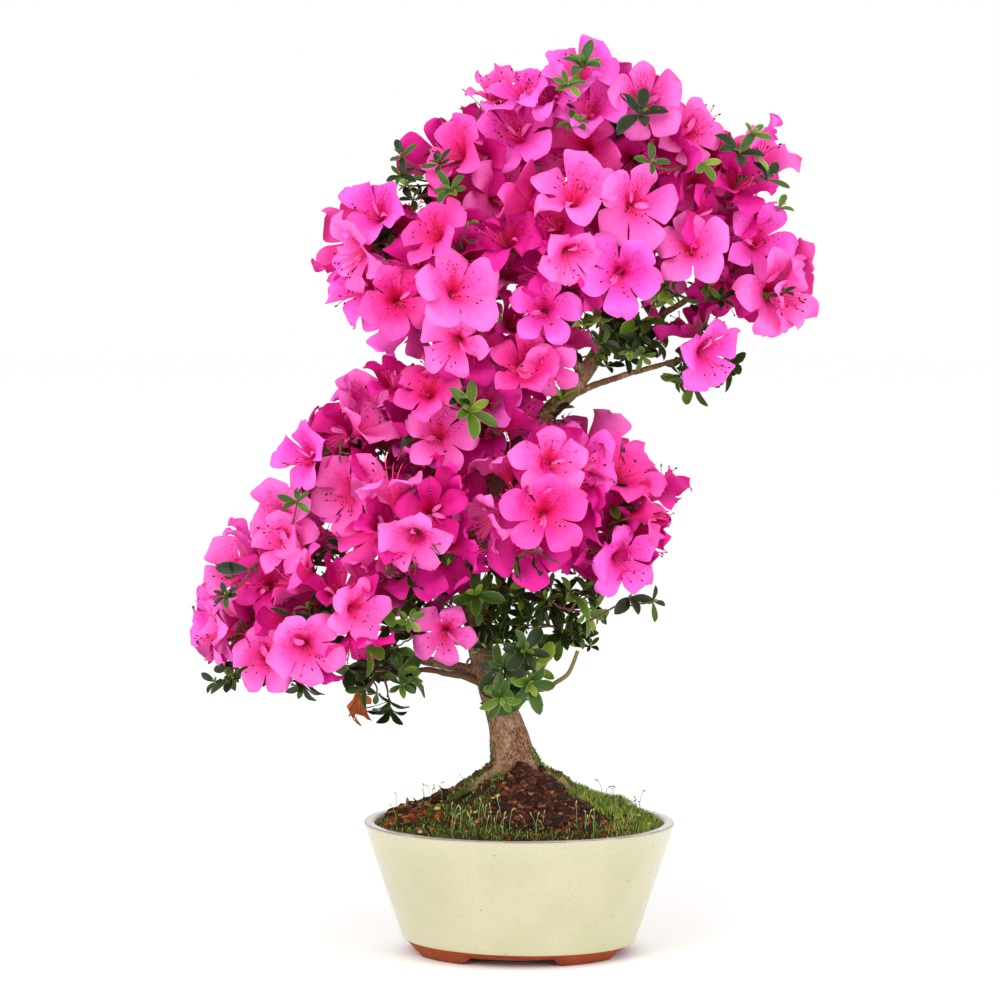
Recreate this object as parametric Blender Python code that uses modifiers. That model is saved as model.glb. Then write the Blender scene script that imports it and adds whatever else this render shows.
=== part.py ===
"""A potted azalea bonsai in full flower: an oval glazed pot on four feet, a soil mound, a
leaning trunk, its boughs, and the masses of blossom and leaves that the boughs carry.
Lengths are in metres, +Z is up, the visitor's side is -Y."""

import math
import random

import bmesh
import bpy
from mathutils import Matrix, Vector
from mathutils.bvhtree import BVHTree

# The whole plant
MM = 0.001
FIT_GAP = 0.3 * MM

# The oval pot, measured along its long axis; the short axis is this share of it
POT_HALF_LENGTH = 86.0 * MM
POT_OVAL = 0.853
POT_HEIGHT = 73.0 * MM
POT_LIP_WIDTH = 5.5 * MM
POT_WALL_FALL = 69.0 * MM
POT_NECK_HALF = 85.4 * MM
POT_FOOT_HALF = 58.6 * MM
POT_GLAZE_Z = 7.5 * MM
POT_GLAZE_HALF = 65.0 * MM
POT_BARE_HALF = 64.6 * MM
POT_FLOOR_Z = 12.0 * MM
POT_WALL = 6.0 * MM
POT_STEPS = 36
POT_TURN = math.radians(-5.0)
FOOT_HEIGHT = 4.2 * MM
FOOT_RING = 11.0 * MM
FOOT_GAP_HALF = 27.0 * MM
FOOT_GAP_RAMP = 4.4 * MM
FOOT_GAP_LENGTH = 300.0 * MM

# The soil mound, and the cushions of moss that swell its flanks
MOUND_HEIGHT = 101.0 * MM
MOUND_FLAT = 22.0 * MM
CUSHION_HEIGHT = 3.0 * MM
CUSHION_SPACING = 25.0 * MM
CUSHION_FADE = 8.0 * MM
CUSHIONS_FROM = 40.0 * MM
CUSHIONS_TO = 80.0 * MM

# The trunk: how far right, back and up its middle line runs, and how thick it is there
TRUNK_LINE = [
    (-1.5, 0.0, 93.0, 15.0),
    (-2.6, 0.0, 103.0, 13.2),
    (-4.4, 0.3, 115.0, 11.6),
    (-6.2, 0.7, 123.0, 10.4),
    (-9.2, 1.1, 133.0, 9.1),
    (-13.8, 1.5, 145.0, 8.2),
    (-19.3, 2.0, 162.0, 7.3),
    (-24.2, 2.5, 184.0, 6.6),
    (-27.0, 3.0, 209.0, 6.1),
    (-23.7, 2.0, 234.0, 5.8),
    (-13.2, 0.0, 262.0, 5.5),
    (6.0, -2.0, 289.5, 5.2),
    (27.0, -3.0, 310.5, 4.8),
    (39.0, -2.0, 326.0, 4.5),
    (48.0, 0.0, 343.0, 4.1),
    (51.0, 3.0, 367.5, 3.6),
    (47.0, 5.0, 395.0, 2.9),
    (43.5, 4.0, 423.0, 2.1),
    (44.0, 2.0, 437.0, 1.6),
]
TRUNK_SIDES = 12

# The root flare: where the roots leave the trunk, bend at the mound and end, and how far out
# the first two points lie; then the way each root runs, how far, and how thick it starts
ROOT_CREST = (-3.5, 0.5, 115.0)
ROOT_CREST_OUT = 4.0
ROOT_KNEE = (-2.0, 0.0, 100.5)
ROOT_KNEE_OUT = 12.0
ROOT_TOE = (-1.5, 0.0, 96.5)
ROOT_DIP_FROM = 24.0
ROOT_DIP_SLOPE = 0.45
ROOT_SIDES = 8
ROOTS = [
    (208.0, 33.0, 5.6),
    (285.0, 25.0, 5.2),
    (340.0, 27.0, 5.8),
    (60.0, 27.0, 6.0),
    (130.0, 26.0, 5.8),
]

# One flower: a shallow funnel of five petals, as shares of its reach
BLOOM_REACH = 25.0 * MM
BLOOM_THROAT = 0.30
BLOOM_BACK = 0.62
PETALS = 5
PETAL_OUTLINE = (0.46, 0.98, 0.98)
PETAL_RISE = (-0.06, 0.0, 0.0)
BLOOM_SEAT = (0.30, 0.32)

# One leaf whorl: a cupped rosette of leaves on the end of a twig, as shares of a leaf
LEAF_LENGTH = 22.0 * MM
LEAF_OUTLINE = (0.20, 0.64, 1.0, 0.64)
LEAF_RISE = (0.04, 0.20, 0.36, 0.20)
WHORL_TOP = 0.04
WHORL_FOOT = 0.17
WHORL_SEAT = (0.08, 0.03)
LEAVES_IN_WHORL = 4

# Twigs: the main one of each mass runs most of the way to the middle of the mass, and the
# others leave it, or each other, at set shares of their length
TWIG_STEM = 1.5 * MM
TWIG_START = 1.08 * MM
TWIG_END = 0.8 * MM
TWIG_SPACING = 3.6 * MM
TWIG_SHORTEST = 3.0 * MM
TWIG_ROOT_SUNK = 0.8 * MM
TWIG_JOINTS = (0.35, 0.55, 0.75)
NEAREST_JOINTS = 8
MAIN_TWIG_SHARE = 0.75

# How often a place for a flower or a whorl is tried in each mass, how far apart they keep as
# a share of their reach, and how far out from the middle of the mass they lie
BLOOM_TRIES = 900
BLOOM_SPACING = 0.77
BLOOM_DEPTHS = (0.66, 0.90)
WHORL_TRIES = 700
WHORL_SPACING = 0.9
WHORL_TO_BLOOM = 1.12
WHORL_DEPTHS = (0.60, 0.92)

# A flower that stands out on the front starts this far out, and is moved in by steps until it
# has room
SHOW_DEPTH = 0.88
SHOW_STEPS = 20
SHOW_STEP_IN = 0.03
SHOW_SPACING = 0.5
SHOW_SKIN = 1.3

# How far a flower or whorl may lean into a neighbour's space, as a share of its reach,
# and how much larger than itself each thing is taken when room is looked for
SPACE_LEAN = 0.30
SKIN_LEAN = 0.3
STICK_ROOM = 0.6 * MM
STAR_ROOM = 0.04
LIMB_ROOM_SIDES = 14

# Each mass: middle, half sizes (mm), how many flowers and leaf whorls, and the flowers that
# stand out on its front: right, up (mm), turned right, turned up (degrees), share of full size
MASSES = {
    "apex": ((44, -2, 457), (52, 46, 52), 8, 3, [
        (36, 493, -10, 45, 0.95), (68, 470, 20, 15, 0.9), (14, 474, -35, 30, 0.8)]),
    "upper_left": ((-22, -6, 433), (42, 46, 46), 7, 2, [
        (-3, 455, 5, 10, 0.95), (-43, 447, -55, 20, 0.9), (-14, 479, -40, 60, 0.75)]),
    "far_left": ((-75, 0, 389), (35, 43, 42), 6, 2, [
        (-93, 387, -45, 0, 0.95), (-80, 411, -20, 35, 0.9)]),
    "upper_front": ((26, -44, 393), (52, 44, 50), 8, 1, [
        (28, 423, -5, 25, 1.0), (62, 414, 15, 10, 0.95), (53, 377, 10, -5, 0.95),
        (12, 357, 0, -10, 0.92), (27, 386, 0, 0, 0.8)]),
    "upper_front_right": ((90, -24, 390), (32, 36, 34), 3, 1, [
        (92, 392, 10, 5, 0.9)]),
    "upper_front_left": ((-34, -36, 363), (48, 44, 54), 7, 2, [
        (-32, 370, -5, 5, 1.0), (-36, 339, -30, -20, 0.85), (-48, 401, -20, 10, 0.85)]),
    "upper_under": ((4, -28, 330), (36, 32, 25), 3, 1, [
        (-8, 329, -5, -5, 0.85), (22, 322, 5, -5, 0.75)]),
    "upper_right": ((96, 0, 435), (45, 46, 42), 7, 3, [
        (141, 445, 80, -10, 0.95), (94, 456, 15, 25, 0.9), (97, 421, 15, 0, 0.85)]),
    "right": ((129, -2, 385), (37, 43, 40), 5, 2, [
        (130, 395, 5, 10, 1.0), (147, 365, 60, -15, 0.92)]),
    "middle_right": ((66, -6, 345), (30, 27, 24), 0, 4, []),
    "right_spray": ((103, -10, 332), (28, 28, 30), 1, 2, [
        (104, 332, 35, -5, 0.92)]),
    "upper_back": ((34, 50, 410), (74, 45, 56), 8, 2, []),
    "lower_top": ((-36, -20, 303), (50, 42, 38), 7, 1, [
        (-45, 287, 0, 5, 0.95), (-14, 311, 10, 30, 0.9), (-52, 317, -10, 30, 0.85)]),
    "left_shoulder": ((-90, 0, 274), (42, 46, 44), 7, 2, [
        (-93, 253, -5, 5, 1.0), (-79, 311, -10, 25, 0.95), (-122, 276, -55, 15, 0.9)]),
    "left": ((-133, 2, 217), (36, 42, 37), 6, 1, [
        (-129, 231, -20, 10, 0.9), (-156, 208, -55, 5, 0.85), (-122, 206, -15, -5, 0.75)]),
    "far_left_low": ((-149, 0, 179), (34, 40, 32), 5, 2, [
        (-168, 181, -75, 0, 0.85), (-142, 195, -30, 0, 0.8)]),
    "front_left": ((-104, -40, 187), (42, 38, 40), 5, 4, [
        (-114, 176, -10, 5, 1.0), (-85, 197, 20, 0, 0.8), (-138, 169, -10, 0, 0.85)]),
    "front_centre": ((-54, -48, 241), (46, 40, 40), 6, 1, [
        (-57, 234, 0, -20, 0.9), (-31, 259, 5, 10, 0.95)]),
    "front_right": ((8, -48, 253), (44, 40, 40), 6, 1, [
        (14, 250, 5, 5, 0.95), (18, 279, 10, 20, 0.9)]),
    "right_shoulder": ((31, -16, 280), (38, 42, 33), 5, 1, [
        (41, 286, 25, 15, 0.95)]),
    "lower_right": ((55, -4, 239), (34, 44, 42), 6, 2, [
        (45, 253, 10, 0, 0.9), (73, 248, 95, 5, 0.85), (58, 220, 40, -15, 0.9)]),
    "under_centre": ((-28, -14, 195), (42, 42, 32), 1, 6, [
        (-42, 179, -5, 0, 0.85)]),
    "under_right": ((25, -8, 192), (35, 38, 26), 0, 5, []),
    "front_tuft": ((-2, -28, 165), (28, 26, 28), 0, 5, []),
    "under_left": ((-76, -26, 155), (27, 27, 24), 0, 4, []),
    "lower_back": ((-30, 50, 258), (86, 44, 62), 10, 2, []),
}

# Each bough: what it leaves, where along it (up, or a share of it), how much it
# bends (mm to the right, back, up) and how thick it is at its ends (mm)
BOUGHS = {
    "upper_left": ("trunk", 0.885, (0, 0, 6), 2.2, 1.5),
    "far_left": ("trunk", 0.775, (0, 0, 8), 2.6, 1.5),
    "upper_front": ("trunk", 0.745, (0, 0, 0), 2.2, 1.7),
    "upper_front_left": ("trunk", 0.68, (0, 0, 6), 2.4, 1.6),
    "upper_front_right": ("trunk", 0.75, (0, 0, 4), 2.0, 1.5),
    "upper_under": ("trunk", 0.645, (0, 0, 2), 1.9, 1.5),
    "upper_right": ("trunk", 0.85, (0, 0, 6), 2.3, 1.5),
    "right": ("trunk", 0.72, (0, 0, -4), 2.3, 1.5),
    "right_spray": ("trunk", 0.625, (0, 0, 5), 2.1, 1.3),
    "middle_right": ("trunk", 0.665, (0, 0, 3), 1.8, 1.3),
    "left_shoulder": ("trunk", 0.41, (0, 0, 6), 2.8, 1.8),
    "left": ("trunk", 0.30, (0, 0, 6), 2.8, 1.7),
    "far_left_low": ("trunk", 0.17, (0, 0, 3), 3.2, 1.8),
    "front_left": ("trunk", 0.215, (0, 0, 4), 2.6, 1.7),
    "front_centre": ("trunk", 0.335, (0, 0, 2), 2.4, 1.8),
    "front_right": ("trunk", 0.39, (0, 0, 2), 2.3, 1.7),
    "right_shoulder": ("trunk", 0.505, (0, 0, -2), 2.4, 1.8),
    "lower_right": ("trunk", 0.36, (0, 0, 4), 2.6, 1.7),
    "under_right": ("trunk", 0.135, (14, 0, -15), 1.8, 1.3),
    "front_tuft": ("trunk", 0.17, (0, 0, 0), 1.9, 1.6),
    "under_left": ("far_left_low", 0.40, (0, 0, -2), 1.8, 1.5),
    "lower_top": ("trunk", 0.52, (0, 0, 2), 2.4, 1.8),
    "lower_back": ("trunk", 0.33, (0, 0, 2), 2.7, 2.0),
}

BOUGH_RINGS = 4
BOUGH_SIDES = 6
BOUGH_STEPS = 24
BOUGH_TURN_AT = 0.45

# How deep in its mass a bough ends and a stem's first stretch may end, where 1 is the skin
BOUGH_DEPTH = 0.86
STEM_DEPTH = 0.94
STEM_LENGTH = 5.0 * MM
TOP_STEM_LENGTH = 6.0 * MM

# Where a mass's stem meets the trunk itself, as a share of the trunk
TRUNK_STEMS = {
    "apex": 1.0,
    "upper_back": 0.86,
    "under_centre": 0.255,
}

# Base colours
GLAZE = (0.70, 0.70, 0.50)
SOIL = (0.06, 0.035, 0.02)
BARK = (0.32, 0.20, 0.14)
PETAL = (0.80, 0.03, 0.42)
LEAF = (0.03, 0.09, 0.025)
LEAFY = ("under_centre", "under_right", "front_tuft", "under_left", "middle_right")


# Empty scene and the two collections
for old in list(bpy.data.objects):
    bpy.data.objects.remove(old, do_unlink=True)


def new_collection(name, hidden=False):
    col = bpy.data.collections.new(name)
    bpy.context.scene.collection.children.link(col)
    col.hide_render = hidden
    return col


PARTS = new_collection("azalea_bonsai")
CUTTERS = new_collection("shaping_bodies", hidden=True)


# Small helpers for materials and objects
def material(name, colour, roughness):
    mat = bpy.data.materials.new(name)
    mat.use_nodes = True
    shader = mat.node_tree.nodes["Principled BSDF"]
    shader.inputs["Base Color"].default_value = (*colour, 1.0)
    shader.inputs["Roughness"].default_value = roughness
    shader.inputs["Metallic"].default_value = 0.0
    return mat


def add_object(name, mesh, col=None):
    ob = bpy.data.objects.new(name, mesh)
    (col or PARTS).objects.link(ob)
    if col is CUTTERS:
        ob.display_type = "WIRE"
        ob.hide_render = True
    return ob


def remove_object(ob):
    mesh = ob.data
    bpy.data.objects.remove(ob, do_unlink=True)
    bpy.data.meshes.remove(mesh)


def bake(ob):
    """Turn an object's modifiers into plain faces."""
    depsgraph = bpy.context.evaluated_depsgraph_get()
    mesh = bpy.data.meshes.new_from_object(ob.evaluated_get(depsgraph))
    old = ob.data
    ob.modifiers.clear()
    ob.data = mesh
    mesh.name = ob.name
    bpy.data.meshes.remove(old)


def cut(ob, cutter, solver="EXACT"):
    mod = ob.modifiers.new("cut", "BOOLEAN")
    mod.operation = "DIFFERENCE"
    mod.object = cutter
    mod.solver = solver
    bake(ob)


def fuse(ob, col, solver="MANIFOLD"):
    """Join every body of a collection onto one body, then empty the collection."""
    mod = ob.modifiers.new("fuse", "BOOLEAN")
    mod.operation = "UNION"
    mod.operand_type = "COLLECTION"
    mod.collection = col
    mod.solver = solver
    bake(ob)
    for piece in list(col.objects):
        remove_object(piece)
    bpy.data.collections.remove(col)


def keep_largest(ob):
    """Keep the one outer skin: loose scraps are dropped and sealed hollows filled."""
    bm = bmesh.new()
    bm.from_mesh(ob.data)
    bmesh.ops.remove_doubles(bm, verts=bm.verts, dist=1e-7)
    bm.faces.ensure_lookup_table()
    unseen = set(bm.faces)
    shells = []
    while unseen:
        shell = [unseen.pop()]
        for face in shell:
            for edge in face.edges:
                for other in edge.link_faces:
                    if other in unseen:
                        unseen.discard(other)
                        shell.append(other)
        shells.append(shell)
    shells.sort(key=len, reverse=True)
    spare = [face for shell in shells[1:] for face in shell]
    bmesh.ops.delete(bm, geom=spare, context="FACES")
    bmesh.ops.dissolve_limit(bm, angle_limit=math.radians(0.05), verts=bm.verts, edges=bm.edges)
    bmesh.ops.triangulate(bm, faces=bm.faces)
    bm.to_mesh(ob.data)
    bm.free()


def smooth(ob):
    for face in ob.data.polygons:
        face.use_smooth = True


# Turned bodies: half a section spun about the upright axis, pressed oval and turned a little
def turned(name, profile, steps, oval, col=None):
    bm = bmesh.new()
    verts = [bm.verts.new((x, 0.0, z)) for x, z in profile]
    for a, b in zip(verts, verts[1:]):
        bm.edges.new((a, b))
    mesh = bpy.data.meshes.new(name)
    bm.to_mesh(mesh)
    bm.free()
    ob = add_object(name, mesh, col)
    screw = ob.modifiers.new("turn", "SCREW")
    screw.axis = "Z"
    screw.steps = steps
    screw.render_steps = steps
    screw.use_merge_vertices = True
    screw.merge_threshold = 1e-5
    screw.use_smooth_shade = True
    bake(ob)
    ob.data.transform(Matrix.Rotation(POT_TURN, 4, "Z") @ Matrix.Diagonal((1.0, oval, 1.0, 1.0)))
    bm = bmesh.new()
    bm.from_mesh(ob.data)
    bmesh.ops.remove_doubles(bm, verts=bm.verts, dist=1e-6)
    bmesh.ops.recalc_face_normals(bm, faces=bm.faces)
    bm.to_mesh(ob.data)
    bm.free()
    return ob


# Pot: a tapering oval bowl with a flat lip, glazed down to the bare foot
wall_slope = (POT_NECK_HALF - POT_GLAZE_HALF) / (POT_WALL_FALL - POT_GLAZE_Z)
inner_floor_half = POT_GLAZE_HALF + wall_slope * (POT_FLOOR_Z - POT_GLAZE_Z) - POT_WALL
pot = turned("pot", [
    (0.0, POT_FLOOR_Z),
    (inner_floor_half, POT_FLOOR_Z),
    (POT_HALF_LENGTH - POT_LIP_WIDTH - 0.4 * MM, POT_HEIGHT - 0.6 * MM),
    (POT_HALF_LENGTH - POT_LIP_WIDTH + 0.4 * MM, POT_HEIGHT),
    (POT_HALF_LENGTH - 0.8 * MM, POT_HEIGHT),
    (POT_HALF_LENGTH, POT_HEIGHT - 0.8 * MM),
    (POT_NECK_HALF, POT_WALL_FALL),
    (POT_GLAZE_HALF, POT_GLAZE_Z),
    (POT_BARE_HALF, POT_GLAZE_Z - 0.3 * MM),
    (POT_FOOT_HALF, 0.0),
    (0.0, 0.0),
], POT_STEPS, POT_OVAL)

# The hollow under the pot leaves a foot ring, and four sloping gaps part it into four feet
hollow = turned("foot_hollow", [
    (0.0, FOOT_HEIGHT),
    (POT_FOOT_HALF - FOOT_RING, FOOT_HEIGHT),
    (POT_FOOT_HALF - FOOT_RING + 1.0 * MM, -5.0 * MM),
    (0.0, -5.0 * MM),
], POT_STEPS, POT_OVAL, CUTTERS)
cut(pot, hollow, "MANIFOLD")


def foot_gap(name, half_width, angle):
    """A long bar whose sides lean in towards its top, laid through the foot ring."""
    bm = bmesh.new()
    bmesh.ops.create_cube(bm, size=1.0)
    for vert in bm.verts:
        top = vert.co.z > 0
        half = half_width - FOOT_GAP_RAMP if top else half_width + FOOT_GAP_RAMP
        vert.co.x = math.copysign(half, vert.co.x)
        vert.co.y = math.copysign(FOOT_GAP_LENGTH / 2.0, vert.co.y)
        vert.co.z = FOOT_HEIGHT - 0.4 * MM if top else -FOOT_HEIGHT
    bmesh.ops.rotate(bm, cent=(0, 0, 0), matrix=Matrix.Rotation(angle + POT_TURN, 3, "Z"),
                     verts=bm.verts)
    mesh = bpy.data.meshes.new(name)
    bm.to_mesh(mesh)
    bm.free()
    return add_object(name, mesh, CUTTERS)


gap_front_back = foot_gap("foot_gap_front_back", FOOT_GAP_HALF, 0.0)
gap_sides = foot_gap("foot_gap_sides", FOOT_GAP_HALF * POT_OVAL, math.pi / 2.0)
cut(pot, gap_front_back, "MANIFOLD")
cut(pot, gap_sides, "MANIFOLD")
pot.data.materials.clear()
pot.data.materials.append(material("cream_glaze", GLAZE, 0.25))


# Soil: it fills the bowl and rises in a hollow-sided cone to a small flat under the trunk. Its
# profile is as high as the moss and grains that cover it
def mound_profile(grow):
    top = MOUND_HEIGHT + grow
    inner_half = POT_HALF_LENGTH - POT_LIP_WIDTH - 0.4 * MM - FIT_GAP
    return [
        (0.0, top),
        (MOUND_FLAT * 0.8 + grow, top),
        (MOUND_FLAT + 4.0 * MM + grow, top - 4.5 * MM),
        (33.0 * MM + grow, top - 10.0 * MM),
        (42.0 * MM + grow, top - 14.0 * MM),
        (52.0 * MM + grow, top - 18.2 * MM),
        (63.0 * MM + grow, top - 22.4 * MM),
        (74.0 * MM + grow, top - 27.4 * MM),
        (inner_half - 0.6 * MM + grow, POT_HEIGHT - 3.0 * MM + grow),
    ]


wall_lean = (POT_HALF_LENGTH - POT_LIP_WIDTH - 0.4 * MM - inner_floor_half) / (
    POT_HEIGHT - 0.6 * MM - POT_FLOOR_Z)
soil_floor = POT_FLOOR_Z + FIT_GAP
soil_floor_half = inner_floor_half + wall_lean * FIT_GAP - 1.1 * FIT_GAP
soil_edge_half = inner_floor_half + wall_lean * (POT_HEIGHT - 4.0 * MM - POT_FLOOR_Z) - 1.1 * FIT_GAP
soil = turned("soil_mound", mound_profile(0.0)[:-1] + [
    (soil_edge_half, POT_HEIGHT - 4.0 * MM),
    (soil_floor_half, soil_floor),
    (0.0, soil_floor),
], POT_STEPS, POT_OVAL)
soil.data.materials.append(material("dark_soil", SOIL, 0.95))


def cushion_rise(x, y):
    """How far a cushion of moss lifts the mound: not at all near the trunk and the rim."""
    out = math.hypot(x, y / POT_OVAL)
    inner = min(max((out - CUSHIONS_FROM) / CUSHION_FADE, 0.0), 1.0)
    outer = min(max((CUSHIONS_TO - out) / CUSHION_FADE, 0.0), 1.0)
    wave = 2 * math.pi / CUSHION_SPACING
    hump = (0.5 + 0.5 * math.sin(wave * x)) * (0.5 + 0.5 * math.cos(wave * y))
    return CUSHION_HEIGHT * inner * outer * hump


for vert in soil.data.vertices:
    if vert.co.z > POT_HEIGHT - 3.5 * MM:
        vert.co.z += cushion_rise(vert.co.x, vert.co.y)
mound_grown = turned("mound_grown", mound_profile(FIT_GAP) + [
    (POT_HALF_LENGTH, 20.0 * MM),
    (0.0, 20.0 * MM),
], POT_STEPS, POT_OVAL, CUTTERS)


# Limbs: round tubes that taper along a smooth middle line
def smooth_line(points, per_span):
    """Points and thickness along a soft curve through the given rows."""
    rows = [Vector(row) for row in points]
    rows = [2.0 * rows[0] - rows[1]] + rows + [2.0 * rows[-1] - rows[-2]]
    out = []
    for i in range(1, len(rows) - 2):
        a, b, c, d = rows[i - 1:i + 3]
        for k in range(per_span):
            t = k / per_span
            out.append(0.5 * ((2.0 * b) + (c - a) * t + (2.0 * a - 5.0 * b + 4.0 * c - d) * t ** 2
                              + (3.0 * b - a - 3.0 * c + d) * t ** 3))
    out.append(rows[-2])
    return [(Vector(row[:3]) * MM, row[3] * MM) for row in out]


def tube(name, line, sides, grow=0.0, col=None):
    """A tapering round limb with closed ends along (point, radius) rows."""
    curve = bpy.data.curves.new(name, "CURVE")
    curve.dimensions = "3D"
    curve.bevel_mode = "ROUND"
    curve.bevel_depth = 1.0
    curve.bevel_resolution = (sides - 4) // 2
    curve.use_fill_caps = True
    spline = curve.splines.new("POLY")
    spline.points.add(len(line) - 1)
    for spot, (point, radius) in zip(spline.points, line):
        spot.co = (*point, 1.0)
        spot.radius = radius + grow
    holder = bpy.data.objects.new(name, curve)
    bpy.context.scene.collection.objects.link(holder)
    depsgraph = bpy.context.evaluated_depsgraph_get()
    mesh = bpy.data.meshes.new_from_object(holder.evaluated_get(depsgraph))
    mesh.transform(holder.matrix_world)
    bpy.data.objects.remove(holder, do_unlink=True)
    bpy.data.curves.remove(curve)
    bm = bmesh.new()
    bm.from_mesh(mesh)
    bmesh.ops.remove_doubles(bm, verts=bm.verts, dist=1e-6)
    bmesh.ops.recalc_face_normals(bm, faces=bm.faces)
    bm.to_mesh(mesh)
    bm.free()
    mesh.name = name
    return add_object(name, mesh, col)


def along(line, share):
    """Point, heading and radius at a share of a limb's length."""
    lengths = [0.0]
    for (a, _), (b, _) in zip(line, line[1:]):
        lengths.append(lengths[-1] + (b - a).length)
    want = min(max(share, 0.0), 1.0) * lengths[-1]
    for i in range(len(line) - 1):
        if want <= lengths[i + 1] or i == len(line) - 2:
            (a, ra), (b, rb) = line[i], line[i + 1]
            t = (want - lengths[i]) / (lengths[i + 1] - lengths[i])
            return a.lerp(b, t), (b - a).normalized(), ra + (rb - ra) * t


trunk_line = smooth_line(TRUNK_LINE, 1)
limbs = {"trunk": trunk_line}


# The space of each mass: an oval body that ends where a neighbour's space is nearer
class Mass:
    def __init__(self, name, row, seed):
        middle, half_sizes, self.blooms, self.whorls, self.show = row
        self.name = name
        self.middle = Vector(middle) * MM
        self.half_sizes = Vector(half_sizes) * MM
        self.seed = seed

    def reach(self, point):
        """0 in the middle of the mass, 1 on its skin."""
        d = point - self.middle
        r = self.half_sizes
        return math.sqrt((d.x / r.x) ** 2 + (d.y / r.y) ** 2 + (d.z / r.z) ** 2)


masses = [Mass(name, row, 11 + i) for i, (name, row) in enumerate(MASSES.items())]
by_name = {mass.name: mass for mass in masses}


# Boughs: each leaves its parent, bends softly and ends where it enters its mass
def bough_line(name):
    parent, share, bend, root_radius, tip_radius = BOUGHS[name]
    mass = by_name[name]
    start, _, _ = along(limbs[parent], share)
    turn = start.lerp(mass.middle, BOUGH_TURN_AT) + Vector(bend) * MM
    whole = []
    for i in range(BOUGH_STEPS + 1):
        t = i / BOUGH_STEPS
        whole.append(start * (1 - t) ** 2 + turn * 2 * t * (1 - t) + mass.middle * t ** 2)
    inside = [i for i, point in enumerate(whole) if mass.reach(point) < BOUGH_DEPTH]
    last = max(inside[0], BOUGH_RINGS - 1)
    kept = whole[:last + 1]
    line = []
    for k in range(BOUGH_RINGS):
        i = round(k * last / (BOUGH_RINGS - 1))
        thick = root_radius + (tip_radius - root_radius) * k / (BOUGH_RINGS - 1)
        line.append((kept[i], thick * MM))
    return line


for name in BOUGHS:
    limbs[name] = bough_line(name)


# Stems: the first stretch of each mass, 0.3 mm clear of its bough's tip or the trunk
def stem_line(mass):
    if mass.name in BOUGHS:
        point, heading, _ = along(limbs[mass.name], 1.0)
        start = point + heading * FIT_GAP
        return start, start + heading * STEM_LENGTH
    share = TRUNK_STEMS[mass.name]
    point, heading, radius = along(trunk_line, share)
    if share == 1.0:
        start = point + heading * FIT_GAP
        return start, start + heading * TOP_STEM_LENGTH
    away = mass.middle - point
    away -= heading * away.dot(heading)
    away.normalize()
    start = point + away * (radius + FIT_GAP)
    elbow = start + away * STEM_LENGTH
    while mass.reach(elbow) > STEM_DEPTH:
        elbow += (mass.middle - elbow).normalized() * MM
    return start, elbow


stems = {mass.name: stem_line(mass) for mass in masses}


# Room: every limb, stem, twig, flower and whorl that is already there
taken = []


def stick(a, b, ra, rb, sides=6):
    """Corners and faces of a straight round stick with flat ends."""
    way = (b - a).normalized()
    side = way.orthogonal().normalized()
    up = way.cross(side)
    corners = []
    for centre, radius in ((a, ra), (b, rb)):
        for i in range(sides):
            angle = 2 * math.pi * i / sides
            corners.append(centre + (side * math.cos(angle) + up * math.sin(angle)) * radius)
    faces = [(i, (i + 1) % sides, sides + (i + 1) % sides, sides + i) for i in range(sides)]
    return corners, faces + [tuple(range(sides)), tuple(range(sides, 2 * sides))]


def grown_stick(a, b, ra, rb, sides=6):
    return stick(a, b, ra + STICK_ROOM, rb + STICK_ROOM, sides)


def ball_round(corners):
    middle = sum(corners, Vector()) / len(corners)
    return middle, max((corner - middle).length for corner in corners)


def face_tree(body):
    """The faces of a body, ready to be tested against another's, at a scale of millimetres."""
    corners, faces = body
    return BVHTree.FromPolygons([corner / MM for corner in corners], faces)


def claim(body, owner):
    middle, radius = ball_round(body[0])
    taken.append((middle, radius, face_tree(body), owner))


def is_free(body, owner):
    """Whether a body touches nothing that belongs to another mass or to a limb."""
    middle, radius = ball_round(body[0])
    tree = None
    for other_middle, other_radius, other_tree, other_owner in taken:
        if other_owner == owner or (middle - other_middle).length > radius + other_radius:
            continue
        tree = tree or face_tree(body)
        if tree.overlap(other_tree):
            return False
    return True


for line in limbs.values():
    for (a, ra), (b, rb) in zip(line, line[1:]):
        claim(grown_stick(a, b, ra, rb, LIMB_ROOM_SIDES), "limbs")
for name, (a, b) in stems.items():
    claim(grown_stick(a, b, TWIG_STEM, TWIG_STEM), name)


def in_own_space(mass, point, skin, lean=SPACE_LEAN):
    here = mass.reach(point)
    return here < skin and all(other.reach(point) >= here - lean for other in masses)


def axes_for(facing, roll):
    """A frame whose third axis is the way a flower or whorl faces."""
    helper = Vector((0, 0, 1)) if abs(facing.z) < 0.9 else Vector((0, 1, 0))
    side = helper.cross(facing).normalized()
    up = facing.cross(side)
    a = side * math.cos(roll) + up * math.sin(roll)
    b = facing.cross(a)
    return a, b, facing


def seat_of(spot, seat, points):
    """Where a twig ends inside a flower or whorl: a little out along a petal or leaf, and behind it."""
    at, facing, roll, size = spot
    a, _, f = axes_for(facing, roll + math.pi / points)
    return at + (a * seat[0] - f * seat[1]) * size


def grown_star(spot, points, outline, rise, top, foot):
    """Corners and faces of a slightly enlarged round body with its rim drawn out into points."""
    at, facing, roll, size = spot
    a, b, f = axes_for(facing, roll)
    count = points * len(outline)
    corners = []
    for i in range(count):
        angle = 2 * math.pi * i / count
        k = i % len(outline)
        r = outline[k] * (1.0 + STAR_ROOM)
        z = rise[k] + (rise[k] - (top + foot) / 2) * STAR_ROOM
        corners.append(at + (a * math.cos(angle) * r + b * math.sin(angle) * r + f * z) * size)
    corners += [at + f * (top + STAR_ROOM) * size, at + f * (foot - STAR_ROOM) * size]
    faces = []
    for i in range(count):
        faces.append((i, (i + 1) % count, count))
        faces.append(((i + 1) % count, i, count + 1))
    return corners, faces


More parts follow.
